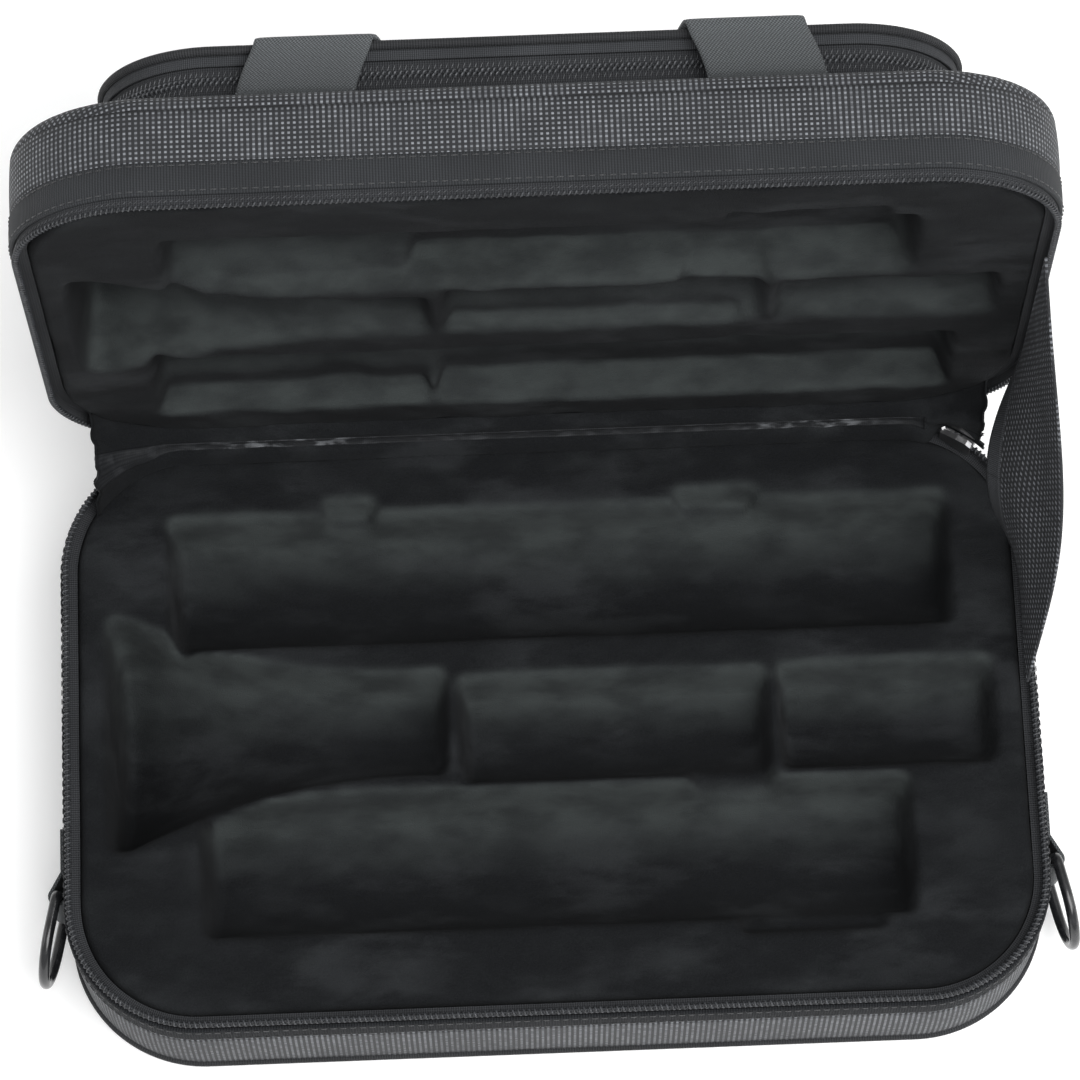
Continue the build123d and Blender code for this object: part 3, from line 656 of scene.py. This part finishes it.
def shiny_tape():
    """Woven ribbon with a satin gloss that breaks over its crinkles; the crinkles are also painted lighter, painted
    highlights, strongest in two stretches along X.
    """
    f = Finish("hinge ribbon", (0.02, 0.021, 0.023), 0.6, sheen=0.01, specular=0.12)
    x, y, _ = f.parts(f.place())
    weave = f.sum("MULTIPLY", f.wave(x, 0.7), f.wave(y, 0.55))
    crinkle = f.noise(0.13, 4.0, (1000, 1800, 1000), kind="UV")
    along = f.parts(f.place(kind="Object"))[0]
    # painted highlights: the crinkles are painted light from X -119 to -60 mm and from 70 to 122 mm, faintly elsewhere
    left = f.sum("MULTIPLY", f.ramp(along, -119, -108), f.ramp(along, -72, -60, 1, 0))
    right = f.sum("MULTIPLY", f.ramp(along, 70, 80), f.ramp(along, 110, 122, 1, 0))
    painted_highlight_stretches = f.sum("MULTIPLY_ADD", f.sum("ADD", left, right), 0.85, 0.15)
    # the weave is the ribbon's own pattern; the crinkle share is painted highlight, mixed towards the pale colour
    share = f.sum("MULTIPLY_ADD", weave, 0.12, f.sum("MULTIPLY", f.sum("MULTIPLY", f.ramp(crinkle, 0.46, 0.66), painted_highlight_stretches), 0.9))
    return f.give(f.mix(share, (0.0105, 0.0112, 0.0125), (0.115, 0.12, 0.128)), f.ramp(crinkle, 0.3, 0.7, 0.7, 0.5),
                  f.bump(weave, 0.0001, 0.6, f.bump(crinkle, 0.0012, 0.7)))


PLUSH = short_plush()
NYLON = dotted_nylon()
STAY_CLOTH = dotted_nylon("stay nylon", (0.019, 0.020, 0.0225), (0.20, 0.21, 0.23), 1.75, 2.6, True)
TRIM = ribbed_cloth("ribbed trim", (0.0105, 0.0113, 0.0125), (0.041, 0.0445, 0.0495))
# painted shade: a darker copy of the ribbed trim for the base's front-facing band, standing in for how that band is lit
PAINTED_SHADE_TRIM = ribbed_cloth("shaded trim", (0.0075, 0.008, 0.009), (0.029, 0.0312, 0.0345), sheen=0.0, specular=0.08)
TAPE_CLOTH = ribbed_cloth("zip tape cloth", (0.010, 0.0105, 0.012), (0.050, 0.053, 0.058), 0.8, 0.8)
PLAIN = ribbed_cloth("plain nylon", (0.013, 0.014, 0.0155), (0.066, 0.070, 0.077), 0.7, 0.7)
CORD = ribbed_cloth("piping cloth", (0.01, 0.0105, 0.012), (0.045, 0.047, 0.05), 0.9, 0.6)
WEBBING = flat_webbing("grey webbing", (0.013, 0.0142, 0.0155), (0.175, 0.19, 0.20))
COIL = coil_nylon("nylon coil", (0.016, 0.017, 0.019), (0.053, 0.056, 0.062))
THREAD = thread("black thread", (0.01, 0.0105, 0.012), (0.034, 0.0355, 0.039))
PALE_THREAD = thread("grey thread", (0.06, 0.0625, 0.067), (0.16, 0.166, 0.176))
POCKET_COIL = coil_nylon("pocket coil nylon", (0.045, 0.047, 0.051), (0.13, 0.135, 0.145))
RIBBON = shiny_tape()
SLIDER_METAL = metal("plated zip metal", (0.40, 0.40, 0.41), (0.50, 0.50, 0.51), 0.34)
RING_METAL = metal("black enamel", (0.008, 0.0085, 0.0095), (0.024, 0.0245, 0.0265), 0.24, metallic=0.0, coat=0.25)


# ---- both halves of the case -------------------------------------------------------------------
BASE_SKIRT = [(0.0, 7.0), (0.0, REBATE), (3.7, REBATE), (3.7, 16.1), (4.5, 16.1), (4.5, 50.0), (3.2, 52.5)]
LID_SKIRT = [(0.0, 7.0), (0.0, REBATE), (3.7, REBATE), (3.7, 16.1), (4.5, 16.1), (4.5, 34.0), (3.4, 37.6), (1.0, 38.4)]
END = zip_span(CASE)
CORNER = CASE[2] * math.pi / 2 / 90      # way along the outline for each degree of a rear corner


def band_section(way):
    """Trim band, rounded at its edges and a little fuller in the middle."""
    low, high = BAND
    base = [(0.1, low), (0.4, low + 2.5), (0.5, (low + high) / 2), (0.4, high - 2.5), (0.1, high), (-COVER, high), (-COVER, low)]
    section = rounded(base, 0.5)
    wave = 0.1 * np.sin(way / 9.7) + 0.07 * np.sin(way / 4.1 + 1)
    grown = np.broadcast_to(section, (len(way),) + section.shape).copy()
    grown[..., 0] += wave[:, None] * (section[:, 0] > -0.5)
    return grown


TAPE_SECTION = rounded([(-1.2, 0.9), (-1.2, 13.4), (-2.0, 13.4), (-2.0, 6.2), (-5.5, 6.4), (-5.5, 5.7),
                        (-2.0, 5.5), (-2.0, 0.9)], 0.2)


def half(word, place, body, axis, skirt, ledges, row_start, tape_start, trim, replaced):
    tray = make(f"{word}_plush_wells", [plush(axis, skirt, ledges)], PLUSH, body, place, replaced)
    make(f"{word}_trim_band", [carried(CASE, band_section, 0, END)], trim, body, place,
         [f"{word}_zip_band"])
    sewn = []
    for height in (BAND[0] + 1.3, BAND[1] - 1.3):
        sewn += outline_stitches(CASE, height, 0.42, 3, END - 3, thread=0.22)
    make(f"{word}_band_stitches", [joined(sewn)], THREAD, body, place)
    make(f"{word}_tape", [carried(CASE, TAPE_SECTION, tape_start * CORNER, END - tape_start * CORNER)], TAPE_CLOTH,
         body, place, [f"{word}_zip_tape"])
    make(f"{word}_coil", [coil(CASE, row_start * CORNER, END - row_start * CORNER, ROW_MIDDLE)], COIL,
         body, place, [f"{word}_zip_teeth"])
    sewn = outline_stitches(CASE, 3.2, -1.15, row_start * CORNER, END - row_start * CORNER, pitch=PITCH,
                            length=0.75, thread=0.26, slant=0.55)
    make(f"{word}_coil_stitches", [joined(sewn)], COIL, body, place)


# the base's trim band takes the darker copy: painted shade
half("base", in_base, "base", WELL_AXIS, BASE_SKIRT, (), 4.1, 0.0, PAINTED_SHADE_TRIM, ["base_foam_tray", "base_lining"])
half("lid", in_lid, "lid", -WELL_AXIS, LID_SKIRT, LEDGES, 47.0, 42.0, TRIM, ["lid_foam_shell", "lid_lining"])

make("base_wall_nylon", [carried(CASE, bulging(16.0, 50.1, 0.35, 0.12))], NYLON, "base", in_base,
     ["base_wall_cover"])
make("base_bottom_cord", [carried(CASE, circle((-0.4, 52.1), 1.7, 14))], CORD, "base", in_base,
     ["base_bottom_piping"])
make("lid_wall_nylon", [carried(CASE, bulging(16.0, SEAM - 0.1, 0.3, 0.12, 1.0))], NYLON, "lid", in_lid,
     ["lid_wall_cover"])


def wrapped_panel(shape, top, edge, seam, crown, skirt, size=4.0):
    """A flat cut laid over the lid: beyond the start of its rounded edge the cut's length runs round the edge, then down."""
    quarter = edge * math.pi / 2
    drop = top - edge - seam
    x, y = filled(shape, -edge + quarter + drop, size, border=quarter + 2.5, fine=1.0)
    beyond, nx, ny = outline_offset(x, y, shape, -edge)
    over = np.clip(beyond, 0, quarter)
    below = np.maximum(beyond - quarter, 0)
    shift = np.where(beyond > 0, edge * np.sin(over / edge) - beyond, 0)
    height = top - edge * (1 - np.cos(over / edge)) - below
    inward = np.clip(-beyond / 60, 0, 1)
    height = height + crown * np.sin(inward * math.pi / 2)
    return skirted(x + nx * shift, y + ny * shift, height, shape, skirt, (x, y))


make("lid_panel_nylon", [wrapped_panel(CASE, LID_HEIGHT, EDGE_RADIUS, SEAM + 0.1, 0.3, [(-1.2, SEAM + 0.1), (-1.9, 38.6)])],
     NYLON, "lid", in_lid, ["lid_panel_cover"])

# ---- hinge --------------------------------------------------------------------------------------
def bent_strip(line, thickness, half_width, crinkle, size=2.5):
    """A strip along X whose section follows a line of (y, z), uneven by waves along X."""
    way = steps(-half_width, half_width, size)
    middle = np.stack(np.broadcast_arrays(way[:, None], line[:, 0], line[:, 1]), -1).copy()
    ends = np.sin(np.linspace(0, math.pi, len(line)))
    wave = crinkle * (np.sin(way / 5.3) * np.sin(way / 31.0 + 1) + 0.6 * np.sin(way / 2.9 + 2))
    middle[..., 1:] += (wave[:, None] * ends)[..., None] * [-0.7, 0.7]
    return cloth(middle, thickness)


def curved(points, count):
    """A smooth line through control points: quadratic arcs between the middles of its runs."""
    p = np.array(points, float)
    middles = (p[1:] + p[:-1]) / 2
    t = np.linspace(0, 1, count)[:-1, None]
    parts, here = [], p[0]
    for k in range(1, len(p) - 1):
        there = middles[k] if k < len(p) - 2 else p[-1]
        parts.append((1 - t) ** 2 * here + 2 * t * (1 - t) * p[k] + t ** 2 * there)
        here = there
    return np.concatenate(parts + [p[-1:]])


def grid_ways(points):
    """Lengths along the rows and columns of a grid of points, from its middle lines."""
    u = np.linalg.norm(np.diff(points, axis=0), axis=2)
    v = np.linalg.norm(np.diff(points, axis=1), axis=2).mean(0)
    u = np.concatenate([[0], np.cumsum(u[:, u.shape[1] // 2])])
    return np.stack(np.meshgrid(u, np.concatenate([[0], np.cumsum(v)]), indexing="ij"), -1)


def cloth(middle, thickness, uv=None):
    """Closed cloth round a grid of points: half its thickness to each side along the grid's own normals."""
    normal = np.cross(np.gradient(middle, axis=0), np.gradient(middle, axis=1))
    normal *= thickness / 2 / np.linalg.norm(normal, axis=2, keepdims=True)
    ring = np.concatenate([middle + normal, (middle - normal)[:, ::-1]], 1)
    uv = grid_ways(middle) if uv is None else uv
    cut = np.concatenate([uv, uv[:, ::-1], uv[:, :1]], 1)
    return dict(woven(ring, cut), grid=cut)


def crumple(u, v, size, seed):
    """Wrinkles: six slanted waves of falling pitch, each with its own heading and phase."""
    draw = np.random.default_rng(seed)
    total = 0
    for share in (1, 0.8, 0.6, 0.45, 0.33, 0.24):
        heading, phase = draw.uniform(-0.9, 0.9), draw.uniform(0, 2 * math.pi)
        total = total + share * np.sin(2 * math.pi * (u * math.cos(heading) + v * math.sin(heading)) / (size * share) + phase)
    return total / 2


HINGE_END = CASE[0] / 2 - CASE[2]


def fold_surface(profile, left, right, size=1.5):
    """Cloth turned about the hinge line from the base's rim to the lid's, following the rear corners' arcs.

    The profile gives (turn, inset, lift): the way in from the outline at that turn is s = R - sqrt((R - inset)^2
    - dx^2), dx being how far x runs past the corner's start, and the lift is square to it. Beside the right slider
    the cloth passes outside it, so inset and lift go to nothing there. The wrinkles add to s.
    """
    turn, inset, lift = curved(profile, 7).T
    outside = np.clip((60 - turn) / 25, 0, 1)
    turn = np.radians(turn)
    x = steps(-HINGE_END - left, HINGE_END + right, size)[:, None]
    dx = np.maximum(np.abs(x) - HINGE_END, 0)
    behind = np.clip((x - HINGE_END - 13) / 6, 0, 1) * outside
    inset = inset + 4.9 * np.clip((dx - 8) / 8, 0, 1) * np.exp(-((turn - math.pi / 4) / 0.35) ** 2)
    inset, lift = inset * (1 - behind) - 0.3 * behind, lift * (1 - behind)
    radius = CASE[2]
    s = radius - np.sqrt(np.maximum((radius - inset) ** 2 - dx ** 2, 1))
    lively = 0.3 + np.exp(-((x + 92) / 30) ** 2) + np.exp(-((x - 98) / 22) ** 2) + np.clip(dx / 14, 0, 1.5) * (1 - behind)
    s = s + 0.3 * lively * crumple(x, turn * 14, 17.0, 3) * np.sin(2 * turn) ** 2
    x = x - np.sign(x) * np.clip(dx / 33, 0, 1) ** 4 * (1.6 + crumple(turn * 20, 0, 9.0, 11)) * np.sin(2 * turn)
    y = HINGE_Y - s * np.cos(turn) + lift * np.sin(turn)
    z = BASE_HEIGHT + s * np.sin(turn) + lift * np.cos(turn)
    return np.stack(np.broadcast_arrays(x, y, z), -1)


hinge_line = curved([(105.5, 38.2), (105.5, 46), (105.5, 54.5), (114, 54.5), (121.8, 54.5)], 7)
outer = make("outer_hinge_cloth", [bent_strip(hinge_line, 1.3, HINGE_END, 0.12)], PLAIN, None, as_is,
             ["hinge_strip"])
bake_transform(outer)
FOLD = [(0, 7.4, -3.1), (7, 6.2, -2.3), (19, 4.9, -0.8), (33, 2.6, 0), (45, 1.3, 0), (57, 2.6, 0), (71, 4.9, 0.8),
        (83, 6.2, 2.3), (90, 7.4, 3.1)]
fold = make("hinge_plush_fold", [cloth(fold_surface(FOLD, 33.0, 33.0), 0.8)], PLUSH, None, as_is)
STRIP = [(29, 3.9, -0.3), (36, 2.9, 0), (45, 2.0, 0), (54, 2.9, 0), (61, 3.9, 0.3)]
inner = make("inner_hinge_ribbon", [cloth(fold_surface(STRIP, 33.0, 12.5), 0.6)], RIBBON, None, as_is,
             ["inner_hinge_tape"])
for piece in (fold, inner):
    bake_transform(piece)

# ---- stay ---------------------------------------------------------------------------------------
STAY_START, STAY_BASE_END, STAY_LID_END = 48.0, 100.0, 145.0
STAY_X = CASE[0] / 2 - 2.9 - 0.1 - 1.0


def stay_surface(turn, share):
    """Cloth from rim to rim: at each angle round the hinge it runs from the rear edge to the front edge,
    bowed in at the rear and out in front by a sine of the angle, with slack folds."""
    part = turn / (math.pi / 2)
    across = STAY_BASE_END * np.sin(turn) + STAY_LID_END * np.sin(math.pi / 2 - turn)
    straight = STAY_BASE_END * STAY_LID_END / across
    far = straight + (STAY_BASE_END + (STAY_LID_END - STAY_BASE_END) * part - straight) * 0.15
    reach = STAY_START + (far - STAY_START) * share
    bow = np.sin(math.pi * part)
    x = STAY_X + 0.5 + bow * (-12.0 + 20.5 * np.maximum(share, 0) ** 0.85)
    x = x + bow * 0.9 * np.sin(9 * share + 3 * part) * np.sin(math.pi * share)
    return np.stack([x, HINGE_Y - reach * np.cos(turn), BASE_HEIGHT + reach * np.sin(turn)], -1)


def in_halves(middle, thickness, uv=None):
    """The cloth's grid and its normals worked out whole, then parted halfway round: the base's half and the lid's."""
    whole = cloth(middle, thickness, uv)
    rows = middle.shape[0]
    points, cut = whole["points"].reshape(rows, -1, 3), whole["grid"]
    return [woven(points[part], cut[part]) for part in (slice(0, rows // 2 + 1), slice(rows // 2, rows))]


GRAIN = math.radians(18.4)                # the cloth's grain is turned by this from the rims
middle = stay_surface(*np.meshgrid(np.radians(np.linspace(0, 90, 61)), np.linspace(0, 1, 41), indexing="ij"))
grain = middle[..., 1:] @ np.array([[math.cos(GRAIN), -math.sin(GRAIN)], [math.sin(GRAIN), math.cos(GRAIN)]])
edge = stay_surface(*np.meshgrid(np.radians(np.linspace(0, 90, 61)), np.linspace(-0.015, 0.13, 7), indexing="ij"))
stays = []
for word, body, face, hem in zip(("lower", "upper"), ("base", "lid"), in_halves(middle, 0.9, grain), in_halves(edge, 1.7)):
    cloth_half = make(f"stay_{word}_cloth", [face], STAY_CLOTH, body, as_is, ["lid_stay"])
    hem_half = make(f"stay_{word}_hem", [hem], PLAIN, body, as_is)
    stays.append((cloth_half, hem_half, body))

# ---- pocket -------------------------------------------------------------------------------------
keys = outline_keys(POCKET)[0]
ZIP_FROM, ZIP_TO = keys[1], keys[6]


def pocket_wall(low, high, swell, start=None, end=None):
    section = bulging(low, high, swell, 0.1, 2.0, 7)
    return carried(POCKET, section) if start is None else carried(POCKET, section, start, end)


make("pocket_walls", [pocket_wall(LID_HEIGHT + 0.1, CHAIN - 5, 0.15), pocket_wall(CHAIN + 5, POCKET_TOP, 0.1),
                      pocket_wall(CHAIN - 5.2, CHAIN + 5.2, 0.1, ZIP_TO, ZIP_FROM + keys[-1])],
     PLAIN, "lid", in_lid, ["pocket_wall"])
tapes, coils = [], []
for side in (-1, 1):
    ends = sorted((CHAIN + side * 0.06, CHAIN + side * 6.0))
    box = [(-1.2, ends[0]), (-1.2, ends[1]), (-2.0, ends[1]), (-2.0, ends[0])]
    tapes.append(carried(POCKET, rounded(box, 0.2), ZIP_FROM, ZIP_TO))
    coils.append(coil(POCKET, ZIP_FROM + 1.8 + side * PITCH / 4, ZIP_TO - 1.8, (-1.2, CHAIN + side * 0.7)))
make("pocket_tapes", tapes, TAPE_CLOTH, "lid", in_lid, ["pocket_zip_tapes"])
ticks = []
for side in (-1, 1):
    ticks += outline_stitches(POCKET, CHAIN + side * 2.6, -1.15, ZIP_FROM + 2, ZIP_TO - 2, pitch=PITCH, length=0.35,
                              thread=0.34, slant=0.9)
make("pocket_coil_stitches", [joined(ticks)], PALE_THREAD, "lid", in_lid)
make("pocket_coils", coils, POCKET_COIL, "lid", in_lid, ["pocket_zip_teeth"])
make("pocket_cord", [carried(POCKET, circle((0.1, POCKET_TOP + 1.7), 1.6, 14))], CORD, "lid", in_lid,
     ["pocket_piping"])
x, y = filled(POCKET, -1.7, 4.0, border=8.0, fine=1.5)
inward = np.clip(-outline_offset(x, y, POCKET, -1.7)[0] / 30, 0, 1)
panel = make("pocket_panel_nylon", [skirted(x, y, POCKET_TOP + 1.4 + 0.7 * np.sin(inward * math.pi / 2), POCKET,
                                            [(0.0, POCKET_TOP + 0.1)])],
             NYLON, "lid", in_lid, ["pocket_panel"])

# ---- handle -------------------------------------------------------------------------------------
def webbing(points, thickness=1.6, count=9):
    """Webbing along a line of (x, y, height, half width): its lines across stay along X, its thickness is square to them."""
    line = curved(points, count)
    path, half_width = line[:, :3], line[:, 3]
    ahead = np.gradient(path, axis=0)
    side = np.broadcast_to([1.0, 0.0, 0.0], path.shape)
    normal = np.cross(ahead, side)
    normal /= np.linalg.norm(normal, axis=1, keepdims=True)
    section = rounded([(-thickness / 2, -1), (thickness / 2, -1), (thickness / 2, 1), (-thickness / 2, 1)], 0.3)
    section = np.broadcast_to(section, (len(path),) + section.shape).copy()
    section[..., 1] *= half_width[:, None]
    way = np.concatenate([[0], np.cumsum(np.linalg.norm(np.diff(path, axis=0), axis=1))])
    return swept(path, normal, side, section, way)


def strap(side, loft):
    """From its sewn end up the pocket's wall, close over the cord, and along the panel in to the grip."""
    return webbing([(side * 75, -96, 42.6, 19), (side * 74.5, -95.6, 46, 19), (side * 72.5, -93.6 - loft, 53, 19),
                    (side * 70, -91.3 - loft, 60, 19), (side * 69, -91.0 - loft, 63.9 + loft / 2, 19),
                    (side * 68, -88.6, 64.7 + loft / 2, 19), (side * 66.5, -84, 64.6, 19), (side * 58, -50, 65.0, 17.5),
                    (side * 50, -18, 65.2, 15.5), (side * 44, 6, 65.4, 14)])


straps = [strap(-1, 0.0), strap(1, 1.4)]
feet = [webbing([(side * 75, y, 40.9, 19) for y in (-100.4, -98, -94, -91.6)]) for side in (-1, 1)]
make("handle_straps", straps, WEBBING, "handle", in_lid, ["handle_webbing"])
make("handle_sewn_ends", feet, WEBBING, "lid", in_lid, ["handle_anchors"])


def grip_surface():
    """Padded sleeve: an ellipse across, swelling to the middle and rounded off at its ends by an eighth-power curve."""
    share = np.sin(np.linspace(-math.pi / 2, math.pi / 2, 61) * 0.985)
    turn = np.linspace(0, 2 * math.pi, 49)[:-1]
    body = (1 - np.abs(share) ** 8) ** (1 / 8) * (1 - 0.1 * share ** 2)
    dome = np.array([0.04, 0.2, 0.36])
    share = np.concatenate([-1.012 + dome * 0.02, share, 1.012 - dome[::-1] * 0.02])
    body = np.concatenate([dome, body, dome[::-1]])
    seam = 1 - 0.035 * np.exp(-((np.mod(turn + math.pi / 2, 2 * math.pi) - math.pi) / 0.08) ** 2)
    rows = body[:, None] * seam[None]
    y = 12 + 12 * rows * np.cos(turn)
    h = 70.4 + 8.0 * rows * np.sin(turn)
    x = np.broadcast_to(share[:, None] * 61, y.shape)
    around = np.linspace(0, 64, 49)
    uv = np.stack(np.meshgrid(share * 61, around, indexing="ij"), -1)
    return woven(np.stack([x, y, h], -1), uv)


grip = make("handle_sleeve", [grip_surface()], PLAIN, "handle", in_lid, ["handle_grip"])

# ---- strap rings' tabs ----------------------------------------------------------------------------
RING_Y, RING_OUT = HINGE_Y - 159.0, 3.5


def folded_tab(side):
    """Webbing folded round the ring's bar: out along the wall, round a circle about the bar, and back on itself."""
    turn = np.radians(np.linspace(-40, 180, 14))
    loop = np.stack([RING_OUT + 2.85 * np.cos(turn), RING_Y - 2.85 * np.sin(turn)], -1)
    start = np.stack([np.full(6, 1.95), RING_Y + np.linspace(24, 8.5, 6)], -1)
    finish = np.stack([np.full(7, 0.65), RING_Y + np.linspace(4, 24, 7)], -1)
    flat = np.concatenate([start, loop, finish])
    path = np.stack([side * (CASE[0] / 2 + flat[:, 0]), flat[:, 1], np.full(len(flat), 24.0)], -1)
    ahead = np.gradient(path, axis=0)
    ahead /= np.linalg.norm(ahead, axis=1, keepdims=True)
    up = np.broadcast_to([0.0, 0.0, 1.0], path.shape)
    section = rounded([(-0.6, -12.5), (0.6, -12.5), (0.6, 12.5), (-0.6, 12.5)], 0.25)
    way = np.concatenate([[0], np.cumsum(np.linalg.norm(np.diff(path, axis=0), axis=1))])
    return swept(path, np.cross(ahead, up), up, section, way)


for side, word in ((-1, "left"), (1, "right")):
    make(f"{word}_tab_webbing", [folded_tab(side)], WEBBING, "base", as_is, [f"{word}_ring_tab"])

# ---- what stays as the part has it ---------------------------------------------------------------
def floor_cloth():
    """Plain nylon seen from below, woven on the piece's own X and Y."""
    f = Finish("floor nylon", (0.014, 0.0145, 0.016), 0.7, sheen=0.2)
    x, y, _ = f.parts(f.place(kind="Object"))
    weave = f.sum("MULTIPLY", f.wave(x, 0.9), f.wave(y, 0.9))
    share = f.sum("MULTIPLY", weave, f.ramp(f.noise(0.03, 2.0), 0.3, 0.7, 0.6, 1.0))
    return f.give(f.mix(share, (0.012, 0.0125, 0.014), (0.055, 0.057, 0.062)), None, f.bump(weave, 0.0002, 0.8))


FLOOR_CLOTH = floor_cloth()
KEPT = {
    "base_floor_cover": FLOOR_CLOTH, "zip_end_stops": SLIDER_METAL, "pocket_zip_stops": SLIDER_METAL,
    "pocket_zip_slider": SLIDER_METAL, "pocket_zip_pull": SLIDER_METAL,
}
for word in ("left", "right"):
    KEPT[f"{word}_zip_slider"] = KEPT[f"{word}_zip_pull"] = SLIDER_METAL
    KEPT[f"{word}_strap_ring"] = RING_METAL
for node, finish in KEPT.items():
    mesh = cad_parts[node].data
    mesh.materials.clear()
    mesh.materials.append(finish)

# ---- the stay halves get mesh data of their own ----------------------------------------------------
for piece, hem, body in stays:
    for half_piece in (piece, hem):
        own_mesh(half_piece)


# ---- floor, light and camera ---------------------------------------------------------------------
def studio():
    """Pale floor, a wide soft light from above and two weaker ones from the sides."""
    mesh = bpy.data.meshes.new("studio_floor")
    r = 6.0
    mesh.from_pydata([(-r, -r, 0), (r, -r, 0), (r, r, 0), (-r, r, 0)], [], [(0, 1, 2, 3)])
    floor = bpy.data.objects.new("studio_floor", mesh)
    f = Finish("pale floor", (0.9, 0.9, 0.9), 0.8)
    f.shader.inputs["Emission Color"].default_value = (1, 1, 1, 1)
    f.shader.inputs["Emission Strength"].default_value = 0.18
    mesh.materials.append(f.material)
    bpy.context.scene.collection.objects.link(floor)
    world = bpy.data.worlds.new("studio")
    world.use_nodes = True
    world.node_tree.nodes["Background"].inputs[0].default_value = (1, 1, 1, 1)
    world.node_tree.nodes["Background"].inputs[1].default_value = 0.5
    bpy.context.scene.world = world
    for name, place, size, power in (("key", (0.7, -0.8, 2.3), 2.0, 72), ("left", (-1.7, 0.1, 0.9), 1.0, 5),
                                     ("right", (1.7, -0.2, 0.9), 1.0, 5)):
        lamp = bpy.data.lights.new(name, "AREA")
        lamp.size, lamp.energy = size, power
        holder = bpy.data.objects.new(name, lamp)
        holder.location = place
        aim = np.array([0, 0.05, 0.1]) - np.array(place)
        from mathutils import Vector
        holder.rotation_euler = Vector(aim).to_track_quat("-Z", "Y").to_euler()
        bpy.context.scene.collection.objects.link(holder)


def camera():
    """The photograph's view: azimuth, elevation and roll about the aim point, with its long lens."""
    from mathutils import Matrix
    azimuth, elevation, roll = (math.radians(v) for v in (-1.816, 71.654, -0.418))
    aim, distance = np.array([0.0, 0.046, 0.054]), 1.75725
    back = np.array([math.sin(azimuth) * math.cos(elevation), -math.cos(azimuth) * math.cos(elevation), math.sin(elevation)])
    right = np.array([math.cos(azimuth), math.sin(azimuth), 0.0])
    up = np.cross(back, right)
    right, up = (right * math.cos(roll) + up * math.sin(roll), -right * math.sin(roll) + up * math.cos(roll))
    data = bpy.data.cameras.new("photo_view")
    data.lens, data.sensor_width = 5027 / 1080 * 36, 36.0
    data.shift_x, data.shift_y = (540 - 545.74) / 1080, (590.45 - 540) / 1080
    data.clip_start, data.clip_end = 0.05, 50
    holder = bpy.data.objects.new("photo_view", data)
    where = aim + back * distance
    rows = [[right[k], up[k], back[k], where[k]] for k in range(3)] + [[0, 0, 0, 1]]
    holder.matrix_world = Matrix(rows)
    bpy.context.scene.collection.objects.link(holder)
    bpy.context.scene.camera = holder


studio()
camera()
bpy.context.scene.view_settings.view_transform = "Standard"
bpy.context.scene.view_settings.look = "None"
